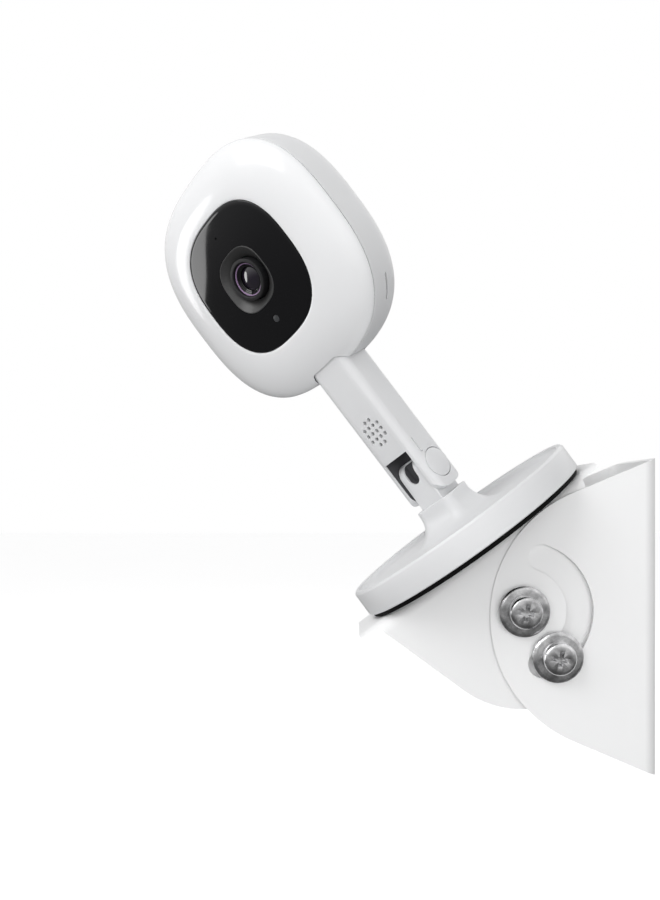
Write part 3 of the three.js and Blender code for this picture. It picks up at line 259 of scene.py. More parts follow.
def turned(name, points, steps=ROUND, closed=False):
    """Spins a profile of (radius, height) points about +Z."""
    deselect()
    bpy.ops.mesh.primitive_plane_add(size=MM)
    piece = bpy.context.object
    piece.name = name
    edit(piece)
    bpy.ops.mesh.merge(type="CENTER")
    bpy.ops.transform.translate(value=(points[0][0], 0, points[0][1]))
    route = points[1:] + ([points[0]] if closed else [])
    here = points[0]
    for point in route:
        step = (point[0] - here[0], 0, point[1] - here[1])
        bpy.ops.mesh.extrude_region_move(TRANSFORM_OT_translate={"value": step})
        here = point
    bpy.ops.mesh.select_all(action="SELECT")
    bpy.ops.mesh.remove_doubles(threshold=1e-7)
    bpy.ops.mesh.select_all(action="SELECT")
    bpy.ops.mesh.spin(steps=steps, angle=2 * math.pi, center=(0, 0, 0), axis=(0, 0, 1))
    close_edit()
    edit(piece)
    bpy.ops.mesh.delete_loose(use_verts=True, use_edges=True, use_faces=False)
    bpy.ops.object.mode_set(mode="OBJECT")
    return piece


def reshape(piece, section, drop=None):
    """Moves each vertex to the radius that section(radius, angle) gives, then down by drop."""
    for vertex in piece.data.vertices:
        radius = math.hypot(vertex.co.x, vertex.co.y)
        if radius > 1e-7:
            scale = section(radius, math.atan2(vertex.co.y, vertex.co.x)) / radius
            vertex.co.x *= scale
            vertex.co.y *= scale
        if drop:
            vertex.co.y -= drop(radius)
    piece.data.update()
    return piece


def apply_modifier(piece, kind, **values):
    """Adds one modifier with these values and applies it."""
    activate(piece)
    modifier = piece.modifiers.new(kind.title(), kind)
    for key, value in values.items():
        setattr(modifier, key, value)
    bpy.ops.object.modifier_apply(modifier=modifier.name)
    return piece


def soften(piece, width, segments=3, angle=35):
    """Rounds every edge sharper than the angle."""
    return apply_modifier(piece, "BEVEL", width=width, segments=segments,
                          limit_method="ANGLE", angle_limit=math.radians(angle),
                          use_clamp_overlap=True)


def combine(piece, tool, operation):
    """Cuts, joins or keeps what is common with a tool piece, which is used up."""
    apply_modifier(piece, "BOOLEAN", object=tool, operation=operation, solver="EXACT")
    bpy.data.objects.remove(tool)
    return piece


def cut(piece, *tools):
    """Cuts each tool from the piece."""
    for tool in tools:
        combine(piece, tool, "DIFFERENCE")
    return piece


def block(size, centre, name="tool"):
    """A box tool of this size about this centre."""
    deselect()
    bpy.ops.mesh.primitive_cube_add(size=1, location=centre, scale=size)
    piece = bpy.context.object
    piece.name = name
    return settle(piece)


def bar(radius, low, high, axis="Z", centre=(0, 0), sides=SMALL_ROUND, name="tool"):
    """A round bar tool between two coordinates of one axis."""
    deselect()
    turns = {"Z": (0, 0, 0), "X": (0, math.pi / 2, 0), "Y": (math.pi / 2, 0, 0)}
    half = (low + high) / 2
    where = {"Z": (*centre, half), "X": (half, *centre), "Y": (centre[0], half, centre[1])}
    bpy.ops.mesh.primitive_cylinder_add(vertices=sides, radius=radius, depth=high - low,
                                        location=where[axis], rotation=turns[axis])
    piece = bpy.context.object
    piece.name = name
    return settle(piece)


def rounded_bar(name, width, depth, corner, low, high, steps=CORNER_STEPS):
    """An upright bar with a rounded rectangular section about +Z."""
    deselect()
    bpy.ops.mesh.primitive_plane_add(size=1, location=(0, 0, low), scale=(width, depth, 1))
    piece = bpy.context.object
    piece.name = name
    bpy.ops.object.transform_apply(location=True, rotation=True, scale=True)
    for vertex in piece.data.vertices:
        vertex.co.x = math.copysign(width / 2, vertex.co.x)
        vertex.co.y = math.copysign(depth / 2, vertex.co.y)
    edit(piece)
    bpy.ops.mesh.bevel(offset=corner * 0.99999, segments=steps, affect="VERTICES")
    bpy.ops.mesh.select_all(action="SELECT")
    bpy.ops.mesh.extrude_region_move(TRANSFORM_OT_translate={"value": (0, 0, high - low)})
    close_edit()
    return piece


def rounded_tool(width, depth, corner, low, high, turn, shift=(0, 0, 0), steps=CORNER_STEPS):
    """A rounded bar turned to lie along another axis: turn is a rotation matrix."""
    piece = rounded_bar("tool", width, depth, corner, low, high, steps)
    piece.data.transform(Matrix.Translation(shift) @ turn)
    return piece


TIPPED = Matrix.Rotation(-math.pi / 2, 4, "X")
ALONG_X = Matrix(((0, 0, 1, 0), (1, 0, 0, 0), (0, 1, 0, 0), (0, 0, 0, 1)))
ALONG_FRONT = Matrix(((1, 0, 0, 0), (0, 0, -1, 0), (0, 1, 0, 0), (0, 0, 0, 1)))


def smooth(piece, angle=30):
    """Smooth shading that keeps edges sharper than the angle."""
    activate(piece)
    bpy.ops.object.shade_smooth_by_angle(angle=math.radians(angle))
    return piece


def deliver(piece, name, body, finish, *nodes, place=None, slot=None, angle=30, flat=False):
    """Places, names and finishes a piece and hands it to its body in the frame."""
    if place:
        settle(piece, place)
    smooth(piece, angle)
    if flat:
        apply_modifier(piece, "WEIGHTED_NORMAL", keep_sharp=True)
    piece.name = name
    piece.data.name = name
    piece.data.materials.clear()
    piece.data.materials.append(finish_named(finish))
    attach(piece, body)
    if nodes:
        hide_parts(*nodes)
    return piece


def copy_of_node(node, name, welded=1e-5):
    """A welded copy of a frame node, ready for rounding."""
    piece = NODES[node].copy()
    piece.data = NODES[node].data.copy()
    piece.parent = None
    for key in [key for key in piece.keys() if key.startswith("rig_")]:
        del piece[key]
    bpy.context.scene.collection.objects.link(piece)
    piece.name = name
    edit(piece)
    bpy.ops.mesh.remove_doubles(threshold=welded)
    bpy.ops.mesh.select_all(action="SELECT")
    bpy.ops.mesh.dissolve_limited(angle_limit=math.radians(1))
    bpy.ops.object.mode_set(mode="OBJECT")
    activate(piece)
    bpy.ops.mesh.customdata_custom_splitnormals_clear()
    return piece


# ---- finishes


def new_material(name, color, roughness, metallic=0.0, **sockets):
    """A Principled material; returns it with its tree and shader."""
    material = bpy.data.materials.new(name)
    material.use_nodes = True
    tree = material.node_tree
    shader = tree.nodes["Principled BSDF"]
    shader.inputs["Base Color"].default_value = (*color, 1)
    shader.inputs["Roughness"].default_value = roughness
    shader.inputs["Metallic"].default_value = metallic
    for key, value in sockets.items():
        shader.inputs[key.replace("_", " ")].default_value = value
    return material, tree, shader


def add_node(tree, kind, **inputs):
    """A shader node whose inputs take a value each, or another node's output."""
    node = tree.nodes.new("ShaderNode" + kind)
    for key, value in inputs.items():
        socket = node.inputs[key.replace("_", " ")]
        if isinstance(value, bpy.types.NodeSocket):
            tree.links.new(value, socket)
        else:
            socket.default_value = value
    return node


def noise(tree, scale, detail=4.0, stretch=(1, 1, 1)):
    """Noise on object coordinates, scale in waves a metre."""
    place = add_node(tree, "TexCoord").outputs["Object"]
    mapping = add_node(tree, "Mapping", Vector=place, Scale=stretch)
    return add_node(tree, "TexNoise", Vector=mapping.outputs["Vector"], Scale=scale,
                    Detail=detail).outputs["Fac"]


def spread(tree, value, low, high):
    """Maps the usual reach of a noise onto a range."""
    return add_node(tree, "MapRange", Value=value, From_Min=0.3, From_Max=0.7,
                    To_Min=low, To_Max=high).outputs["Result"]


def tint(tree, value, color, other):
    """Mixes two colours by a noise value."""
    mix = tree.nodes.new("ShaderNodeMix")
    mix.data_type = "RGBA"
    mix.inputs["A"].default_value = (*color, 1)
    mix.inputs["B"].default_value = (*other, 1)
    tree.links.new(value, mix.inputs["Factor"])
    return mix.outputs["Result"]


def bump(tree, shader, height, distance, before=None):
    """Raises the surface by a height value."""
    node = add_node(tree, "Bump", Distance=distance, Height=height)
    if before:
        tree.links.new(before, node.inputs["Normal"])
    tree.links.new(node.outputs["Normal"], shader.inputs["Normal"])
    return node.outputs["Normal"]


def shade_of(color, factor):
    """The same colour, darker or lighter."""
    return tuple(min(1, channel * factor) for channel in color)


def moulded(name, color, roughness, grain, grain_depth, wave_depth, **sockets):
    """Moulded plastic: fine grain, slow waviness, and uneven gloss and tone."""
    material, tree, shader = new_material(name, color, roughness, **sockets)
    slow = noise(tree, 60, 3)
    fine = noise(tree, grain, 2)
    gloss = spread(tree, slow, roughness * 0.88, roughness * 1.12)
    tree.links.new(gloss, shader.inputs["Roughness"])
    tone = tint(tree, slow, shade_of(color, 0.985), shade_of(color, 1.01))
    tree.links.new(tone, shader.inputs["Base Color"])
    under = bump(tree, shader, slow, wave_depth)
    bump(tree, shader, fine, grain_depth, before=under)
    return material


def metal(name, color, roughness, stretch, lines, depth, darkest_tone_or_reflection=0.94):
    """Plated or brushed metal with fine lines, and colour that darkens in noise patches down to the darkest share:
    slight uneven tone, and painted reflection where that share is low, as on chrome.
    """
    material, tree, shader = new_material(name, color, roughness, metallic=1.0)
    brushed = noise(tree, lines, 3, stretch)
    clouds = noise(tree, 250, 4)
    gloss = spread(tree, clouds, roughness * 0.75, roughness * 1.3)
    tree.links.new(gloss, shader.inputs["Roughness"])
    # Colour darkens in noise patches: painted reflection on chrome, slight uneven tone on the other metals.
    tone = tint(tree, spread(tree, clouds, 0, 1), shade_of(color, darkest_tone_or_reflection), color)
    tree.links.new(tone, shader.inputs["Base Color"])
    bump(tree, shader, brushed, depth)
    return material


def powder_coat(name, color):
    """Stoved powder: a fine orange-peel skin."""
    material, tree, shader = new_material(name, color, 0.42)
    peel = noise(tree, 1400, 2)
    slow = noise(tree, 40, 3)
    tree.links.new(spread(tree, peel, 0.36, 0.5), shader.inputs["Roughness"])
    tone = tint(tree, slow, shade_of(color, 0.985), shade_of(color, 1.01))
    tree.links.new(tone, shader.inputs["Base Color"])
    bump(tree, shader, peel, 0.00002)
    return material


def circuit(name, color):
    """Solder mask with copper tracks that show through as a lighter green."""
    material, tree, shader = new_material(name, color, 0.35)
    place = add_node(tree, "TexCoord").outputs["Object"]
    tracks = add_node(tree, "TexBrick", Vector=place, Scale=160, Color1=(*color, 1),
                      Color2=(*shade_of(color, 1.5), 1), Mortar=(*shade_of(color, 0.6), 1))
    tree.links.new(tracks.outputs["Color"], shader.inputs["Base Color"])
    tree.links.new(spread(tree, noise(tree, 300), 0.3, 0.42), shader.inputs["Roughness"])
    return material


# Maker, colour or the setting that holds it, roughness, and what else the maker takes.
FINISHES = {
    "white_gloss_plastic": (moulded, "front_shell", 0.16, 900, 0.000004, 0.00005,
                            {"Coat_Weight": 0.35, "Coat_Roughness": 0.06, "IOR": 1.5}),
    "grey_satin_plastic": (moulded, "rear_shell", 0.34, 2600, 0.000012, 0.00003, {"IOR": 1.48}),
    "black_gloss_plastic": (moulded, "face_plate", 0.06, 700, 0.000001, 0.00001,
                            {"Coat_Weight": 0.25, "Coat_Roughness": 0.03, "IOR": 1.45}),
    "black_matte_plastic": (moulded, (0.01, 0.01, 0.011), 0.55, 2400, 0.00001, 0.00002),
    "dark_satin_plastic": (moulded, (0.05, 0.05, 0.05), 0.38, 1500, 0.000004, 0.00001),
    # Painted shade: a flat dark grey for the sheets laid in the fork and in the tongue's notch, where the parts
    # are only in shadow.
    "dark_lining": (moulded, (0.085, 0.085, 0.09), 0.9, 1500, 0.00002, 0.00002, {"IOR": 1.1}),
    # Painted shade: near-black for the ring in the parting line and the backs of the vent slots, where the head is
    # only in shadow.
    "black_felt": (moulded, (0.006, 0.006, 0.007), 0.95, 1500, 0.00002, 0.00002, {"IOR": 1.08}),
    "black_rubber": (moulded, (0.006, 0.006, 0.006), 0.8, 1800, 0.00003, 0.00002, {"IOR": 1.2}),
    "tinted_rim": (moulded, (0.3, 0.2, 0.34), 0.25, 900, 0.000001, 0.000001),
    "light_diffuser": (moulded, (0.9, 0.86, 0.76), 0.3, 1600, 0.000006, 0.00002,
                       {"Subsurface_Weight": 0.3, "Subsurface_Scale": 0.002}),
    "grey_window": (moulded, (0.05, 0.052, 0.055), 0.25, 1200, 0.000002, 0.00001),
    "coated_glass": (moulded, (0.01, 0.006, 0.016), 0.03, 500, 0.0000005, 0.000002,
                     {"Coat_Weight": 1.0, "Coat_Roughness": 0.02, "Coat_IOR": 1.7}),
    "white_powder_coat": (powder_coat, "bracket"),
    # Chrome's last value, 0.4, lets its colour fall to 0.4 in large noise blotches: painted reflection, dark and
    # bright patches in place of the polished screws' mirrored surroundings.
    "chrome": (metal, (0.95, 0.95, 0.96), 0.2, (1, 6, 1), 900, 0.00005, 0.4),
    "zinc_steel": (metal, (0.62, 0.63, 0.65), 0.3, (8, 1, 1), 900, 0.00001),
    "aluminium": (metal, (0.72, 0.73, 0.75), 0.38, (1, 1, 1), 2000, 0.00001),
    "circuit_board": (circuit, (0.02, 0.14, 0.06)),
}
MADE = {}


def finish_named(name):
    """The finish of that name, made in the panel's colours when it is first wanted."""
    if name not in MADE:
        maker, color, *values = FINISHES[name]
        sockets = values.pop() if values and isinstance(values[-1], dict) else {}
        if isinstance(color, str):
            color = getattr(bpy.context.scene.monitor_colors, color)
        MADE[name] = maker(name, color, *values, **sockets)
    return MADE[name]


# ---- settings in the panel

DEFAULT_FRONT = (0.9, 0.905, 0.915)
DEFAULT_REAR = (0.76, 0.765, 0.775)
DEFAULT_FACE = (0.006, 0.006, 0.007)
DEFAULT_BRACKET = (0.93, 0.932, 0.935)


def color_setting(name, description, default):
    """A colour picker setting."""
    return bpy.props.FloatVectorProperty(name=name, description=description, default=default,
                                         subtype="COLOR", size=3, min=0, max=1)


def size_setting(name, description, default, highest=0.01):
    """A length setting."""
    return bpy.props.FloatProperty(name=name, description=description, default=default,
                                   min=0, max=highest, unit="LENGTH", precision=5)


class MonitorColors(bpy.types.PropertyGroup):
    front_shell: color_setting("Front shell", "Colour of the glossy front shell", DEFAULT_FRONT)
    rear_shell: color_setting("Rear shell and stand", "Colour of the satin parts", DEFAULT_REAR)
    face_plate: color_setting("Face plate", "Colour round the lens", DEFAULT_FACE)
    bracket: color_setting("Bracket", "Colour of the powder coat", DEFAULT_BRACKET)
    floor: color_setting("Floor", "Colour of the stage", (0.93, 0.93, 0.935))


class MonitorSizes(bpy.types.PropertyGroup):
    shell_edge: size_setting("Shell edge", "Rounding along the parting line", 0.35 * MM)
    stem_edge: size_setting("Stem edge", "Rounding of the stem's cut edges", 0.35 * MM)
    sheet_edge: size_setting("Sheet edge", "Rounding of the bracket's edges", 0.3 * MM)
    screw_edge: size_setting("Screw edge", "Rounding of the fasteners", 0.25 * MM)
    floor_drop: size_setting("Floor drop", "Stage below the bracket", 0.12, 1)
    camera_distance: size_setting("Camera distance", "Camera out from the pivot", 0.3552, 2)


def sizes():
    """The size settings."""
    return bpy.context.scene.monitor_sizes


UNDOABLE = {"REGISTER", "UNDO"}
DONE = {"FINISHED"}


# ---- camera head


def square_radius(radius, angle, squareness):
    """Polar radius of a rounded square with this half width."""
    across = abs(math.cos(angle)) ** squareness
    up = abs(math.sin(angle)) ** squareness
    return radius * (across + up) ** (-1 / squareness)


def smoothstep(value, low, high):
    """0 below low, 1 above high and smooth between."""
    share = min(1, max(0, (value - low) / (high - low)))
    return share * share * (3 - 2 * share)


def head_section(radius, angle):
    """Round at the lens, and squarer out to the edge of the head."""
    face = smoothstep(radius, BARREL_RADIUS, FUNNEL_MOUTH)
    rim = min(1, max(0, (radius - FACE_RADIUS) / (HEAD_RADIUS - FACE_RADIUS)))
    squareness = 2 + (FACE_SQUARENESS - 2) * face + (HEAD_SQUARENESS - FACE_SQUARENESS) * rim
    return square_radius(radius, angle, squareness)


def shoulder(outer, inner, height, fullness, steps):
    """A quarter of a full ellipse from (outer, 0) to (inner, height)."""
    points = []
    for step in range(steps + 1):
        angle = step / steps * math.pi / 2
        across = max(0, math.cos(angle)) ** (2 / fullness)
        rise = math.sin(angle) ** (2 / fullness)
        points.append((inner + (outer - inner) * across, height * rise))
    return points


def head_piece(name, points, drop=None):
    """A head piece turned about the lens axis, with the head's outline."""
    return reshape(turned(name, points, ROUND, True), head_section, drop)


def front_drop(radius):
    """The front shell slides from the face plate's centre down to the rear shell's."""
    return SHELL_DROP * min(1, max(0, (radius - FACE_RADIUS) / (HEAD_RADIUS - FACE_RADIUS)))


def rear_drop(radius):
    """The rear shell sits lower all over."""
    return SHELL_DROP


def stem_opening():
    """Tool for the opening that the stem goes through, in the lens's place."""
    clearance = 0.55 * MM
    tool = rounded_bar("tool", STEM_WIDTH + 2 * clearance, STEM_DEPTH + 2 * clearance,
                       STEM_CORNER + clearance, -HEAD_RADIUS - 2 * MM, STEM_OPENING_TOP)
    tool.data.transform(TIPPED)
    return tool


def face_height(radius):
    """Front of the face plate at a radius, ahead of the parting line."""
    return FRONT_DEPTH + FACE_CROWN * (1 - (radius / FACE_RADIUS) ** 2)


class MONITOR_OT_front_shell(bpy.types.Operator):
    """The glossy white front of the head, with its opening for the stem"""
    bl_idname = "monitor.front_shell"
    bl_label = "Front shell"
    bl_options = UNDOABLE

    def execute(self, context):
        low = PARTING_FORWARD + PART_LINE / 2
        seat = FACE_RADIUS + GAP / 2
        ledge = FACE_RADIUS - FACE_LEDGE
        ledge_front = FRONT_DEPTH - FACE_THICKNESS - GAP
        edge = sizes().shell_edge
        outer = shoulder(HEAD_RADIUS, seat + edge, FRONT_DEPTH - low, SHOULDER_FULLNESS, 26)
        inner = shoulder(HEAD_RADIUS - HEAD_WALL, ledge, ledge_front - HEAD_WALL - low,
                         SHOULDER_FULLNESS, 14)
        points = [(HEAD_RADIUS - edge, low), (HEAD_RADIUS - edge * 0.3, low + edge * 0.3)]
        points += [(radius, height + low) for radius, height in outer if height > edge]
        points += [(seat + edge * 0.3, FRONT_DEPTH - edge * 0.3), (seat, FRONT_DEPTH - edge)]
        points += [(seat, ledge_front), (ledge, ledge_front)]
        points += [(radius, height + low) for radius, height in reversed(inner)]
        shell = head_piece("front_shell_skin", points, front_drop)
        cut(shell, stem_opening())
        deliver(shell, "front_shell_skin", "camera", "white_gloss_plastic", "front_shell",
                place=LENS, angle=40)
        return DONE


def rear_points(wall, steps):
    """Straight sides and a round corner to a nearly flat back, set in by a wall."""
    start = PARTING_FORWARD - PART_LINE / 2
    corner_back = REAR_DEPTH - REAR_CORNER
    corner = REAR_CORNER - wall
    edge = sizes().shell_edge if wall == 0 else 0
    points = [(HEAD_RADIUS - wall - edge, start)]
    if edge:
        points += [(HEAD_RADIUS - edge * 0.3, start - edge * 0.3), (HEAD_RADIUS, start - edge)]
    points += [(HEAD_RADIUS - wall, start - 2 * MM)]
    for step in range(steps + 1):
        angle = step / steps * math.pi / 2
        points.append((HEAD_RADIUS - REAR_CORNER + corner * math.cos(angle),
                       -corner_back - corner * math.sin(angle)))
    return points + [(0, -REAR_DEPTH + wall)]


def rear_body(name):
    """The rear shell before anything is cut from it."""
    return head_piece(name, rear_points(0, 20) + rear_points(HEAD_WALL, 12)[::-1], rear_drop)


def glow_window(shrink):
    """Tool for the light strip's window, in the lens's place."""
    width = 2 * (GLOW_HALF_WIDTH - shrink)
    depth = GLOW_WIDTH - 2 * shrink
    middle_back = GLOW_BACK + GLOW_WIDTH / 2 - PARTING_FORWARD
    tool = rounded_bar("tool", width, depth, depth / 2, HEAD_RADIUS - 3 * HEAD_WALL,
                       HEAD_RADIUS + 2 * MM)
    tool.data.transform(Matrix.Translation((0, middle_back, 0)))
    tool.data.transform(TIPPED)
    return tool


def painted_shade_fillers():
    """A dark ring in the parting line and dark backs behind the vent slots: painted shade, standing in for the
    shadow in the gap and inside the slots.
    """
    reach = PART_LINE / 2 - 0.02 * MM
    outside, inside = HEAD_RADIUS - 0.35 * MM, HEAD_RADIUS - 1.7 * MM
    ring = [(outside, PARTING_FORWARD - reach), (outside, PARTING_FORWARD + reach)]
    ring += [(inside, PARTING_FORWARD + reach), (inside, PARTING_FORWARD - reach)]
    seam_shade = cut(head_piece("seam_gasket", ring, rear_drop), stem_opening())
    deliver(seam_shade, "seam_gasket", "camera", "black_felt", place=LENS, slot="black_matte_plastic")
    for name, side in SIDES:
        skin = rear_points(0.5 * MM, 12)
        core = head_piece("core", skin + [(0, skin[0][1])], rear_drop)
        plug = vent_slot(side, 0.73 * HEAD_RADIUS, 0.03 * MM)
        combine(plug, core, "INTERSECT")
        deliver(plug, f"vent_back_{name}", "camera", "black_felt", place=LENS,
                slot="black_matte_plastic")


def vent_slot(side, inner, shrink):
    """Tool for one vent slot, in the lens's place, from this reach outwards."""
    reach = sorted((side * inner, side * (HEAD_RADIUS + 2 * MM)))
    wide = VENT_WIDTH - 2 * shrink
    slot = rounded_tool(wide, VENT_LENGTH - 2 * shrink, wide / 2, reach[0], reach[1],
                        ALONG_X, (0, VENT_BACK, -VENT_DROP))
    slot.data.transform(TIPPED)
    return slot


class MONITOR_OT_rear_shell(bpy.types.Operator):
    """The satin rear shell with its vent slots, and the light strip set in its top"""
    bl_idname = "monitor.rear_shell"
    bl_label = "Rear shell and light strip"
    bl_options = UNDOABLE

    def execute(self, context):
        shell = rear_body("rear_shell_skin")
        cut(shell, stem_opening(), glow_window(0))
        cut(shell, *(vent_slot(side, 0.6 * HEAD_RADIUS, 0) for name, side in SIDES))
        deliver(shell, "rear_shell_skin", "camera", "grey_satin_plastic", "rear_shell", place=LENS,
                angle=40)
        strip = combine(rear_body("light_strip"), glow_window(GAP * 0.6), "INTERSECT")
        deliver(strip, "light_strip", "camera", "light_diffuser", "night_light_strip", place=LENS,
                angle=40)
        # Painted shade: dark pieces in the parting line and behind the vent slots.
        painted_shade_fillers()
        return DONE


class MONITOR_OT_face(bpy.types.Operator):
    """The black face plate with its microphone hole and light sensor"""
    bl_idname = "monitor.face"
    bl_label = "Face plate"
    bl_options = UNDOABLE

    def execute(self, context):
        hole = FUNNEL_MOUTH + 0.1 * MM
        rim = FACE_RADIUS - 0.3 * MM
        radii = [hole + (rim - hole) * step / 12 for step in range(13)]
        front = [(radius, face_height(radius)) for radius in radii]
        front.append((FACE_RADIUS - 0.08 * MM, FRONT_DEPTH - 0.1 * MM))
        front.append((FACE_RADIUS, FRONT_DEPTH - 0.3 * MM))
        back = [(FACE_RADIUS, FRONT_DEPTH - FACE_THICKNESS)]
        back.append((hole, face_height(hole) - FACE_THICKNESS))
        plate = head_piece("face_plate_skin", front + back)
        mic = bar(MIC_RADIUS, 0, 2 * FRONT_DEPTH, "Z", (0, MIC_RISE), 24)
        sensor = bar(SENSOR_RADIUS + 0.06 * MM, 0, 2 * FRONT_DEPTH, "Z", (0, -SENSOR_DROP), 40)
        cut(plate, mic, sensor)
        deliver(plate, "face_plate_skin", "camera", "black_gloss_plastic", "face_plate", place=LENS)
        window = bar(SENSOR_RADIUS, face_height(SENSOR_DROP) - FACE_THICKNESS,
                     face_height(SENSOR_DROP) - 0.05 * MM, "Z", (0, -SENSOR_DROP), 40)
        soften(window, 0.15 * MM)
        deliver(window, "light_sensor_lens", "camera", "grey_window", "light_sensor_window",
                place=LENS)
        return DONE


class MONITOR_OT_lens(bpy.types.Operator):
    """The lens funnel, barrel, rings and glass"""
    bl_idname = "monitor.lens"
    bl_label = "Lens"
    bl_options = UNDOABLE

    def execute(self, context):
        top = face_height(FUNNEL_MOUTH)
        bottom = top - FUNNEL_DEPTH
        self.funnel(top, bottom)
        front = bottom + BARREL_STANDS
        seat = front - BARREL_LIP
        self.barrel(front, seat)
        self.glass(seat)
        return DONE

    def finish(self, piece, name, finish, *nodes, slot=None):
        deliver(piece, name, "camera", finish, *nodes, place=LENS, slot=slot or finish, angle=25)

    def funnel(self, top, bottom):
        lip = 0.35 * MM
        wall = 0.8 * MM
        high = (FUNNEL_MOUTH - lip - 0.1 * MM, top - 0.1 * MM)
        foot = (FUNNEL_THROAT + 0.1 * MM, bottom + 0.05 * MM)
        slope = [Vector(high).lerp(foot, step / 10)[:] for step in range(1, 11)]
        points = [
            (FUNNEL_MOUTH, top - wall),
            (FUNNEL_MOUTH, top - 0.1 * MM),
            (FUNNEL_MOUTH - 0.1 * MM, top),
            (FUNNEL_MOUTH - lip, top),
            (FUNNEL_MOUTH - lip - 0.1 * MM, top - 0.1 * MM),
            *slope,
            (FUNNEL_THROAT, bottom - 0.05 * MM),
            (FUNNEL_THROAT, bottom - wall),
            (FUNNEL_THROAT + wall, bottom - wall),
        ]
        self.finish(head_piece("lens_funnel", points), "lens_funnel", "dark_satin_plastic",
                    "lens_bezel", slot="black_gloss_plastic")

    def barrel(self, front, seat):
        bore = BARREL_RADIUS - BARREL_WALL
        points = [
            (BARREL_RADIUS, front - BARREL_LENGTH),
            (BARREL_RADIUS, front - 0.35 * MM),
            (BARREL_RADIUS - 0.1 * MM, front - 0.1 * MM),
            (BARREL_RADIUS - 0.35 * MM, front),
            (bore + 0.35 * MM, front),
            (bore + 0.1 * MM, front - 0.15 * MM),
            (bore, seat),
            (bore, front - BARREL_LENGTH),
        ]
        self.finish(turned("lens_tube", points, 96, True), "lens_tube", "black_matte_plastic",
                    "lens_barrel")
        outer = bore - GAP
        back = seat - 1.2 * MM
        points = [(outer - 0.35 * MM, seat + 0.04 * MM), (outer, seat + 0.04 * MM)]
        points += [(outer, seat + 0.4 * MM), (outer - 0.35 * MM, seat + 0.25 * MM)]
        self.finish(turned("lens_rim", points, 96, True), "lens_rim", "tinted_rim",
                    slot="black_gloss_plastic")
        steps = 3
        points = [(outer, back), (outer, seat)]
        for step in range(steps):
            reach = outer - (outer - LENS_RADIUS - GAP) * (step + 1) / steps
            drop = seat - 0.8 * MM * (step + 1) / steps
            points += [(reach + 0.25 * MM, drop + 0.8 * MM / steps), (reach, drop)]
        points.append((LENS_RADIUS + GAP, back))
        self.finish(turned("lens_retainer", points, 96, True), "lens_retainer",
                    "black_gloss_plastic", "lens_ring")

    def element(self, name, radius, front, crown, thickness, node):
        points = [(0, front - thickness), (radius, front - thickness)]
        for step in range(13):
            share = 1 - step / 12
            points.append((radius * share, front - crown * share ** 2))
        self.finish(turned(name, points, 64), name, "coated_glass", node)

    def glass(self, seat):
        self.element("front_element", LENS_RADIUS, seat - 0.2 * MM, 0.9 * MM, 1.8 * MM,
                     "lens_front_glass")
        self.element("inner_element", LENS_RADIUS + 0.6 * MM, seat - 2.8 * MM, 0.7 * MM, 1.6 * MM,
                     "lens_inner_glass")


# ---- stem and stand


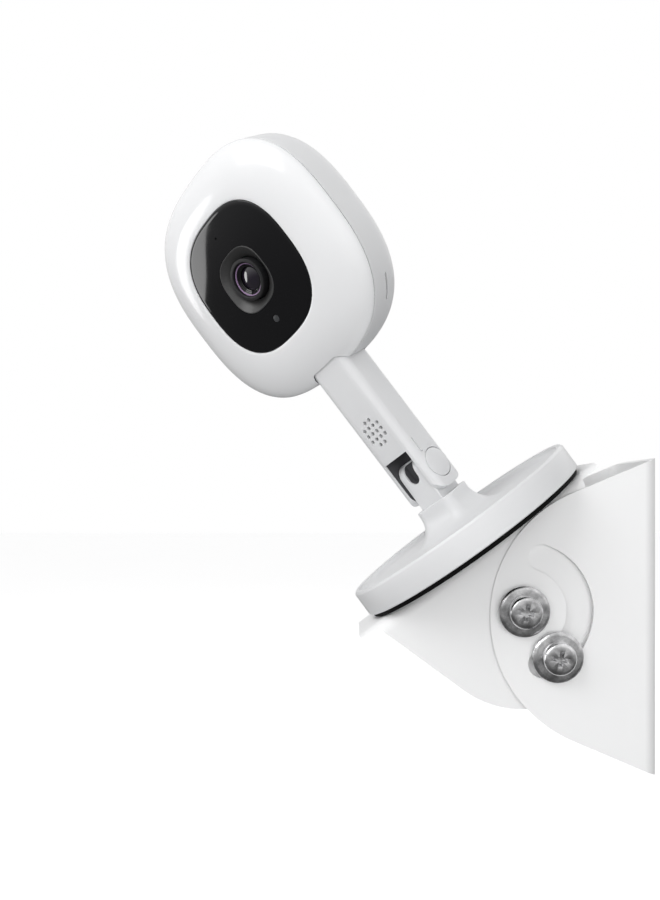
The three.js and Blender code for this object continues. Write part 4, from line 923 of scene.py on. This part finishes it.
class MONITOR_OT_stem(bpy.types.Operator):
    """The stem with its fork, sound holes and cap seats"""
    bl_idname = "monitor.stem"
    bl_label = "Stem"
    bl_options = UNDOABLE

    def execute(self, context):
        stem = rounded_bar("stem", STEM_WIDTH, STEM_DEPTH, STEM_CORNER, STEM_LOW, STEM_TOP, 12)
        tall = 2 * (STEM_TOP - STEM_LOW)
        side = rounded_tool(STEM_DEPTH + 0.04 * MM, tall, WING_CORNER, -STEM_WIDTH, STEM_WIDTH,
                            ALONG_X, (0, 0, STEM_LOW + tall / 2))
        combine(stem, side, "INTERSECT")
        fork_height = FORK_TOP - 2 * STEM_LOW
        fork = block((FORK_GAP, 2 * STEM_DEPTH, fork_height), (0, 0, FORK_TOP - fork_height / 2))
        cut(stem, fork)
        soften(stem, sizes().stem_edge, 3, 50)
        seat = STEM_WIDTH / 2 - CAP_SEAT
        cavity = rounded_bar("tool", STEM_WIDTH - 2 * STEM_WALL, STEM_DEPTH - 2 * STEM_WALL,
                             STEM_CORNER - STEM_WALL, FORK_TOP + FORK_ROOF, STEM_TOP + MM, 4)
        socket_hole = block((SOCKET_WIDTH, SOCKET_DEPTH, 4 * FORK_ROOF), (0, SOCKET_BACK, FORK_TOP))
        bore = bar(PIN_RADIUS + PIN_GAP, -STEM_WIDTH, STEM_WIDTH, "X", (0, 0), 32)
        cut(stem, cavity, socket_hole, bore)
        for low, high in ((seat, STEM_WIDTH), (-STEM_WIDTH, -seat)):
            cut(stem, bar(CAP_RADIUS + CAP_GAP, low, high, "X", (0, 0), 64))
        self.grooves(stem)
        cut(stem, self.sound_holes())
        # Painted shade: a dark sheet laid inside the fork.
        self.liner()
        deliver(stem, "stem_skin", "camera", "grey_satin_plastic", "stem_shell", place=STEM)
        self.caps()
        return DONE

    def liner(self):
        """A dark sheet over the fork's top, round the socket and down both wings: painted shade, standing in for
        the shadow inside the fork.
        """
        thick = 0.15 * MM
        depth = STEM_DEPTH - 0.9 * MM
        low = STEM_LOW + 0.6 * MM
        wide = FORK_GAP - 0.04 * MM
        top = FORK_TOP - 0.02 * MM
        liner = rounded_bar("liner", wide, depth, 0.4 * MM, low, top, 3)
        inner = wide - 2 * thick
        cut(liner, block((inner, 2 * depth, top - low), (0, 0, (top + low) / 2 - thick)),
            bar(4.9 * MM, -STEM_WIDTH, STEM_WIDTH, "X", (0, 0), 48),
            block((SOCKET_WIDTH, SOCKET_DEPTH, 4 * thick), (0, SOCKET_BACK, FORK_TOP)))
        tall = 4 * FORK_TOP
        keep = rounded_tool(depth, tall, WING_CORNER - 0.4 * MM, -STEM_WIDTH, STEM_WIDTH,
                            ALONG_X, (0, 0, low + tall / 2))
        combine(liner, keep, "INTERSECT")
        deliver(liner, "fork_liner", "camera", "dark_lining", place=STEM,
                slot="black_matte_plastic")

    def grooves(self, stem):
        """A short hairline down each front corner, with a hook at its foot."""
        wide = 0.36 * MM
        long = 6.4 * MM
        start = 6.6 * MM
        for side in (-1, 1):
            x = side * STEM_WIDTH / 2
            y = -STEM_DEPTH / 2 + STEM_CORNER
            line = block((1.2 * MM, wide, long), (x, y, start + long / 2))
            hook = block((1.2 * MM, 1.1 * MM, wide), (x, y + 0.5 * MM, start + wide / 2))
            cut(stem, line, hook)

    def sound_holes(self):
        """The sound holes as one tool: a grid without its corners."""
        columns, rows = 4, 5
        holes = []
        for column in range(columns):
            for row in range(rows):
                if column in (0, columns - 1) and row in (0, rows - 1):
                    continue
                x = (column - (columns - 1) / 2) * GRILLE_PITCH
                z = GRILLE_RISE + (row - (rows - 1) / 2) * GRILLE_PITCH
                holes.append(bar(GRILLE_HOLE, -STEM_DEPTH, -STEM_DEPTH / 2 + STEM_WALL + MM,
                                 "Y", (x, z), 20))
        deselect()
        for hole in holes:
            hole.select_set(True)
        bpy.context.view_layer.objects.active = holes[0]
        bpy.ops.object.join()
        return holes[0]

    def caps(self):
        """The round covers over the hinge's pin ends."""
        outside = STEM_WIDTH / 2
        points = [(0, outside - 1.5 * MM), (CAP_RADIUS, outside - 1.5 * MM)]
        points += [(CAP_RADIUS, outside - 0.25 * MM), (CAP_RADIUS - 0.08 * MM, outside - 0.08 * MM)]
        points += [(CAP_RADIUS - 0.25 * MM, outside), (0, outside)]
        for name, side in SIDES:
            cap = turned("cap", points, 96)
            cap.data.transform(Matrix.Rotation(side * math.pi / 2, 4, "Y"))
            deliver(cap, f"hinge_cover_{name}", "camera", "grey_satin_plastic", f"hinge_cap_{name}",
                    place=STEM)


def rectangle_radius(angle, half_width, half_depth, corner):
    """Polar radius of a rounded rectangle."""
    cos, sin = abs(math.cos(angle)), abs(math.sin(angle))
    centre_x, centre_y = half_width - corner, half_depth - corner
    if cos > 0 and half_width / cos * sin <= centre_y:
        return half_width / cos
    if sin > 0 and half_depth / sin * cos <= centre_x:
        return half_depth / sin
    along = centre_x * cos + centre_y * sin
    aside = centre_x ** 2 + centre_y ** 2 - along ** 2
    return along + math.sqrt(max(0, corner ** 2 - aside))


def stand_section(radius, angle):
    """The stem's outline at the post, round over the dish."""
    half = STEM_WIDTH / 2
    if radius <= half:
        return rectangle_radius(angle, half, STEM_DEPTH / 2, STEM_CORNER) * radius / half
    wider = radius - half
    flared = rectangle_radius(angle, radius, STEM_DEPTH / 2 + wider, STEM_CORNER + wider)
    roundness = smoothstep(wider, FLARE_REACH, 2 * FLARE_REACH)
    return flared + (radius - flared) * roundness


class MONITOR_OT_stand(bpy.types.Operator):
    """The round foot with its post and tongue, and the rubber pad under it"""
    bl_idname = "monitor.stand"
    bl_label = "Stand"
    bl_options = UNDOABLE

    def execute(self, context):
        shell = self.dish()
        combine(shell, self.tongue(), "UNION")
        deliver(shell, "stand_skin", "tilting_stand", "grey_satin_plastic", "base_shell",
                place=STAND, angle=28)
        # Painted shade: a dark sheet laid in the tongue's notch.
        self.notch_liner()
        self.pad()
        return DONE

    def notch_liner(self):
        """A dark sheet lining the tongue's notch: painted shade, standing in for the shadow in the notch."""
        thick = 0.25 * MM
        top = HINGE_RISE + TONGUE_TOP
        foot = top - NOTCH_DROP + 0.03 * MM
        front = TONGUE_DEPTH / 2 - 0.7 * MM
        wide = NOTCH_WIDTH - 0.06 * MM
        liner = rounded_tool(wide, 4 * NOTCH_DROP, wide / 2, -NOTCH_BACK + 0.02 * MM, front,
                             ALONG_FRONT, (0, 0, foot + 2 * NOTCH_DROP))
        inner = wide - 2 * thick
        hollow = rounded_tool(inner, 4 * NOTCH_DROP, inner / 2, -NOTCH_BACK + thick, front + MM,
                              ALONG_FRONT, (0, 0, foot + thick + 2 * NOTCH_DROP))
        tall = 2 * (top - 0.5 * MM - LEDGE)
        keep = rounded_tool(TONGUE_DEPTH - MM, tall, TONGUE_CORNER - 0.5 * MM, -TONGUE_WIDTH,
                            TONGUE_WIDTH, ALONG_X, (0, 0, LEDGE))
        combine(cut(liner, hollow), keep, "INTERSECT")
        deliver(liner, "notch_liner", "tilting_stand", "dark_lining", place=STAND,
                slot="black_matte_plastic")

    def dish(self):
        floor = DISC_HEIGHT - DISH_DEPTH
        ceiling = floor - DISC_WALL
        half = STEM_WIDTH / 2
        rim_inner = DISC_RADIUS - RIM_CHAMFER - RIM_WIDTH
        inner_wall = DISC_RADIUS - DISC_WALL
        points = [(0, LEDGE), (half - 1.5 * MM, LEDGE), (half - 0.35 * MM, LEDGE)]
        points += [(half - 0.1 * MM, LEDGE - 0.1 * MM), (half, LEDGE - 0.35 * MM)]
        drop = LEDGE - FLARE_TOP_STRAIGHT - floor
        steps = 20
        for step in range(steps + 1):
            angle = step / steps * math.pi / 2
            radius = half + FLARE_REACH * (1 - math.cos(angle))
            points.append((radius, floor + drop * (1 - math.sin(angle))))
        for share in (0.25, 0.5, 0.75, 1):
            points.append((half + FLARE_REACH * (1 + share), floor - 0.25 * MM * share))
        points.append((rim_inner - 6 * MM, floor - 0.1 * MM))
        rise = DISH_DEPTH
        for step in range(1, 9):
            angle = step / 8 * math.pi / 2
            points.append((rim_inner - 3 * MM * (1 - math.sin(angle)),
                           floor + rise * (1 - math.cos(angle)) * 0.93))
        points += [(rim_inner + 0.25 * MM, DISC_HEIGHT)]
        points += [(DISC_RADIUS - RIM_CHAMFER, DISC_HEIGHT)]
        points += [(DISC_RADIUS - 0.12 * MM, DISC_HEIGHT - RIM_CHAMFER + 0.1 * MM)]
        points += [(DISC_RADIUS, DISC_HEIGHT - RIM_CHAMFER - 0.15 * MM)]
        points += [(DISC_RADIUS, DISC_BOTTOM + 0.3 * MM), (DISC_RADIUS - 0.3 * MM, DISC_BOTTOM)]
        points += [(inner_wall, DISC_BOTTOM), (inner_wall, ceiling), (0, ceiling)]
        return reshape(turned("dish", points), stand_section)

    def tongue(self):
        foot = LEDGE - MM
        top = HINGE_RISE + TONGUE_TOP
        tall = 2 * (top - foot)
        tongue = rounded_tool(TONGUE_DEPTH, tall, TONGUE_CORNER, -TONGUE_WIDTH / 2,
                              TONGUE_WIDTH / 2, ALONG_X, (0, 0, foot))
        soften(tongue, 0.5 * MM, 4, 50)
        cut(tongue, block((3 * TONGUE_WIDTH, 3 * TONGUE_DEPTH, tall), (0, 0, foot - tall / 2)))
        notch = rounded_tool(NOTCH_WIDTH, 4 * NOTCH_DROP, NOTCH_WIDTH / 2, -NOTCH_BACK,
                             TONGUE_DEPTH, ALONG_FRONT, (0, 0, top - NOTCH_DROP + 2 * NOTCH_DROP))
        bore = bar(PIN_RADIUS + PIN_GAP, -TONGUE_WIDTH, TONGUE_WIDTH, "X", (0, HINGE_RISE), 32)
        cut(tongue, notch, bore)
        seat = TONGUE_WIDTH / 2 - WAVE_SEAT_DEPTH
        for low, high in ((seat, TONGUE_WIDTH), (-TONGUE_WIDTH, -seat)):
            cut(tongue, bar(WAVE_SEAT_RADIUS, low, high, "X", (0, HINGE_RISE), 48))
        return tongue

    def pad(self):
        low, high = span("rubber_pad", STAND, 2)
        radius = span("rubber_pad", STAND, 0)[1]
        points = [(0, low), (radius - 0.6 * MM, low), (radius - 0.18 * MM, low + 0.18 * MM)]
        points += [(radius, low + 0.6 * MM), (radius, high - 0.1 * MM), (radius - 0.1 * MM, high)]
        pad = turned("pad", points + [(0, high)])
        deliver(pad, "rubber_foot", "tilting_stand", "black_rubber", "rubber_pad", place=STAND)


# ---- bracket and fasteners


class MONITOR_OT_bracket(bpy.types.Operator):
    """The wall bracket and the tilting bracket, with their cut edges rounded"""
    bl_idname = "monitor.bracket"
    bl_label = "Bracket"
    bl_options = UNDOABLE

    def execute(self, context):
        for node, body in (("wall_bracket", "wall_mount"), ("tilt_bracket", "tilting_stand")):
            piece = copy_of_node(node, f"{node}_sheet")
            soften(piece, sizes().sheet_edge, 2, 60)
            deliver(piece, f"{node}_sheet", body, "white_powder_coat", node, flat=True)
        return DONE


def screw_place(node):
    """Place on a fastener's axis at the bracket's middle, +Z out to its side."""
    centre = middle(node)
    side = math.copysign(1, centre.x)
    out = ACROSS * side
    up = (middle("pivot_screw_right") - middle("slot_screw_right")).normalized()
    across = up.cross(out)
    return place_from(Vector((0, centre.y, centre.z)), across, out)


class MONITOR_OT_fasteners(bpy.types.Operator):
    """The cross-head screws, bevelled washers and nuts of the bracket"""
    bl_idname = "monitor.fasteners"
    bl_label = "Fasteners"
    bl_options = UNDOABLE

    def execute(self, context):
        for role in ("pivot", "slot"):
            for side in ("right", "left"):
                place = screw_place(f"{role}_screw_{side}")
                self.screw(place, role, side)
                self.washer(place, role, side)
                nut = copy_of_node(f"{role}_nut_{side}", "nut")
                soften(nut, sizes().screw_edge, 2, 40)
                deliver(nut, f"{role}_hex_nut_{side}", "tilting_stand", "zinc_steel",
                        f"{role}_nut_{side}")
        return DONE

    def screw(self, place, role, side):
        node = f"{role}_screw_{side}"
        low, high = span(node, place, 2)
        seat = high - SCREW_HEAD_HEIGHT
        rim = SCREW_HEAD_RADIUS
        points = [(0, low), (SCREW_RADIUS - 0.5 * MM, low), (SCREW_RADIUS, low + 0.5 * MM)]
        points += [(SCREW_RADIUS, seat), (rim - 0.2 * MM, seat), (rim, seat + 0.2 * MM)]
        for step in range(9):
            angle = step / 8 * math.pi / 2
            reach = 0.72 * rim + 0.28 * rim * math.cos(angle)
            points.append((reach, seat + 0.4 * SCREW_HEAD_HEIGHT
                           + 0.5 * SCREW_HEAD_HEIGHT * math.sin(angle)))
        points.append((0, high))
        screw = turned("screw", points, 64)
        for turn in (0, math.pi / 2):
            cut(screw, self.cross_arm(high, turn))
        soften(screw, 0.08 * MM, 2, 50)
        deliver(screw, f"{role}_cross_screw_{side}", "tilting_stand", "chrome", node, place=place)

    def cross_arm(self, top, turn):
        """One arm of the cross recess, narrower at its foot."""
        tall = CROSS_DEPTH + MM
        arm = block((CROSS_SPAN, CROSS_WIDTH, tall), (0, 0, top + MM - tall / 2))
        foot = top - CROSS_DEPTH + 0.1 * MM
        for vertex in arm.data.vertices:
            if vertex.co.z < foot:
                vertex.co.x *= 0.45
                vertex.co.y *= 0.7
        arm.data.transform(Matrix.Rotation(turn + math.pi / 4, 4, "Z"))
        return arm

    def washer(self, place, role, side):
        node = f"{role}_washer_{side}"
        low, high = span(node, place, 2)
        hole = SCREW_RADIUS + 0.3 * MM
        bevel = 0.7 * MM
        points = [(hole, low), (WASHER_RADIUS - 0.15 * MM, low), (WASHER_RADIUS, low + 0.15 * MM)]
        points.append((WASHER_RADIUS, high - bevel))
        points.append((WASHER_RADIUS - 0.1 * MM, high - bevel + 0.12 * MM))
        points.append((WASHER_RADIUS - bevel * 1.3, high - 0.05 * MM))
        points.append((WASHER_RADIUS - bevel * 1.6, high))
        points += [(hole + 0.1 * MM, high), (hole, high - 0.1 * MM)]
        washer = turned("washer", points, 96, True)
        deliver(washer, f"{role}_flat_washer_{side}", "tilting_stand", "chrome", node, place=place,
                angle=20)


class MONITOR_OT_inner_parts(bpy.types.Operator):
    """Finishes for the frame's own pieces that stay as they are"""
    bl_idname = "monitor.inner_parts"
    bl_label = "Inner parts"
    bl_options = UNDOABLE

    def execute(self, context):
        slots = {row["node"]: row["material_slot"] for row in frame["record"]["subparts"]}
        for node, piece in NODES.items():
            piece.data.materials.clear()
            piece.data.materials.append(finish_named(slots[node]))
        return DONE


# ---- stage


# Name, place and side in metres, watts, and whether it shows in gloss.
SOFT_BOXES = (
    ("key", (0.5, -0.75, 0.65), 0.7, 4.6, True),
    ("fill", (1.1, 0.0, 0.05), 0.9, 6.6, False),
    ("side", (-0.45, -1.1, -0.05), 0.8, 3.0, False),
    ("back", (-0.6, 0.5, 0.8), 0.9, 2, True),
)
SKY_AS_LIGHT = 0.38
SKY_LOW = 0.12
SKY_HIGH = 0.9
STRIP_AWAY = 0.9
STRIP_SIZE = (0.3, 0.52)
STRIP_BULGE = 0.009
STRIP_POWER = 1.25
BAND_TOP = (1 * MM, 23.2 * MM)
BAND_FOOT = (-23.9 * MM, 2.8 * MM)
BAND_INSIDE = (-17.7 * MM, 17.9 * MM)
CAMERA_ASIDE = -0.05975
CAMERA_RISE = 0.03909
CAMERA_LENS = 37.368
CAMERA_SHIFT = (-0.0278889, 0.0565556)
SENSOR_HEIGHT = 36


class MONITOR_OT_stage(bpy.types.Operator):
    """Pale floor, soft lights and the camera"""
    bl_idname = "monitor.stage"
    bl_label = "Stage, lights and camera"
    bl_options = UNDOABLE

    def execute(self, context):
        self.floor(context)
        self.lights(context)
        self.camera(context)
        context.scene.view_settings.view_transform = "Standard"
        return DONE

    def floor(self, context):
        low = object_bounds()[0][2] - sizes().floor_drop
        deselect()
        bpy.ops.mesh.primitive_plane_add(size=12, location=(0, 0, low))
        floor = bpy.context.object
        floor.name = "stage_floor"
        settle(floor)
        material, tree, shader = new_material("stage_pale", context.scene.monitor_colors.floor, 0.8)
        tree.links.new(spread(tree, noise(tree, 3), 0.75, 0.85), shader.inputs["Roughness"])
        shader.inputs["Specular IOR Level"].default_value = 0.1
        shader.inputs["Emission Color"].default_value = (1, 1, 1, 1)
        shader.inputs["Emission Strength"].default_value = 0.6
        floor.data.materials.append(material)
        floor.visible_glossy = False
        floor.visible_diffuse = False
        floor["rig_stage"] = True

    def lights(self, context):
        self.studio(context)
        target = Vector((0, -0.09, 0.06))
        for name, where, size, power, shiny in SOFT_BOXES:
            light = self.area(name, Vector(where), target, (size, size), power)
            light.visible_glossy = shiny
        self.strip()

    def studio(self, context):
        """White surroundings, dimmer as a light than as a background."""
        world = bpy.data.worlds.new("studio")
        context.scene.world = world
        world.use_nodes = True
        tree = world.node_tree
        background = tree.nodes["Background"]
        background.inputs["Color"].default_value = (1, 1, 1, 1)
        path = add_node(tree, "LightPath").outputs
        place = add_node(tree, "TexCoord").outputs["Generated"]
        rise = add_node(tree, "SeparateXYZ", Vector=place).outputs["Z"]
        sky = add_node(tree, "MapRange", Value=rise, From_Min=-0.5, From_Max=0.5,
                       To_Min=SKY_LOW, To_Max=SKY_HIGH)
        sky.interpolation_type = "SMOOTHSTEP"
        shine = add_node(tree, "Mix", Factor=path["Is Glossy Ray"], A=SKY_AS_LIGHT,
                         B=sky.outputs["Result"])
        seen = add_node(tree, "Mix", Factor=path["Is Camera Ray"], A=shine.outputs["Result"], B=1.0)
        tree.links.new(seen.outputs["Result"], background.inputs["Strength"])

    def bounced(self, x, z):
        """Where sight of the face plate at (x, z) from the head's centre ends up."""
        crown = 2 * FACE_CROWN / FACE_RADIUS ** 2
        height = face_height(math.hypot(x, z))
        spot = HEAD @ Vector((x, -height, z))
        normal = (HEAD.to_3x3() @ Vector((x * crown, -1, z * crown))).normalized()
        view = (spot - self.view_point()).normalized()
        return spot + (view - 2 * view.dot(normal) * normal) * STRIP_AWAY

    def strip(self):
        """Soft box whose straight edge shows as the band at the side of the face plate."""
        ends = [self.bounced(*BAND_TOP), self.bounced(*BAND_FOOT)]
        inside = self.bounced(*BAND_INSIDE)
        middle_edge = (ends[0] + ends[1]) / 2
        along = (ends[0] - ends[1]).normalized()
        inward = inside - middle_edge
        inward = (inward - inward.dot(along) * along).normalized()
        if inward.cross(along).dot(LENS_MIDDLE - middle_edge) > 0:
            along = -along
        light = self.area("strip", Vector(), UP, STRIP_SIZE, STRIP_POWER)
        light.data.shape = "ELLIPSE"
        turn = Matrix((inward, along, inward.cross(along))).transposed()
        centre = middle_edge + inward * (STRIP_SIZE[0] / 2 - STRIP_BULGE)
        light.matrix_world = Matrix.Translation(centre) @ turn.to_4x4()
        light.visible_diffuse = False

    def area(self, name, where, target, size, power):
        """A soft light that points at a target."""
        data = bpy.data.lights.new(name, "AREA")
        data.shape = "RECTANGLE"
        data.size, data.size_y = size
        data.energy = power
        light = bpy.data.objects.new(name, data)
        light.location = where
        light.rotation_euler = (target - where).to_track_quat("-Z", "Y").to_euler()
        light.visible_camera = False
        bpy.context.scene.collection.objects.link(light)
        return light

    def view_point(self):
        """Where the camera stands."""
        return PIVOT_POINT + Vector((sizes().camera_distance, CAMERA_ASIDE, CAMERA_RISE))

    def camera(self, context):
        """Level camera looking along -X, beside the object, off to one side of its own sight."""
        data = bpy.data.cameras.new("view")
        camera = bpy.data.objects.new("view", data)
        context.scene.collection.objects.link(camera)
        camera.location = self.view_point()
        camera.rotation_euler = (math.pi / 2, 0, math.pi / 2)
        data.sensor_fit = "VERTICAL"
        data.sensor_height = SENSOR_HEIGHT
        data.lens = CAMERA_LENS
        data.shift_x, data.shift_y = CAMERA_SHIFT
        data.clip_start = 0.01
        context.scene.camera = camera


# ---- panel and registration

MAKERS = (
    MONITOR_OT_inner_parts,
    MONITOR_OT_front_shell,
    MONITOR_OT_rear_shell,
    MONITOR_OT_face,
    MONITOR_OT_lens,
    MONITOR_OT_stem,
    MONITOR_OT_stand,
    MONITOR_OT_bracket,
    MONITOR_OT_fasteners,
    MONITOR_OT_stage,
)


class MONITOR_PT_panel(bpy.types.Panel):
    bl_label = "Baby Monitor Camera"
    bl_idname = "MONITOR_PT_panel"
    bl_space_type = "VIEW_3D"
    bl_region_type = "UI"
    bl_category = "Monitor"

    def draw(self, context):
        layout = self.layout
        for group in (context.scene.monitor_sizes, context.scene.monitor_colors):
            for key in group.bl_rna.properties.keys():
                if key not in ("rna_type", "name"):
                    layout.prop(group, key)
        for maker in MAKERS:
            layout.operator(maker.bl_idname)


CLASSES = (MonitorColors, MonitorSizes, *MAKERS, MONITOR_PT_panel)


def register():
    """Registers the settings, operators and panel."""
    for item in CLASSES:
        bpy.utils.register_class(item)
    bpy.types.Scene.monitor_colors = bpy.props.PointerProperty(type=MonitorColors)
    bpy.types.Scene.monitor_sizes = bpy.props.PointerProperty(type=MonitorSizes)


def unregister():
    """Takes them out again."""
    del bpy.types.Scene.monitor_sizes
    del bpy.types.Scene.monitor_colors
    for item in reversed(CLASSES):
        bpy.utils.unregister_class(item)


def main():
    """Makes the whole object."""
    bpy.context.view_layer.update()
    register()
    for maker in MAKERS:
        group, name = maker.bl_idname.split(".")
        getattr(getattr(bpy.ops, group), name)()


if __name__ == "__main__":
    main()
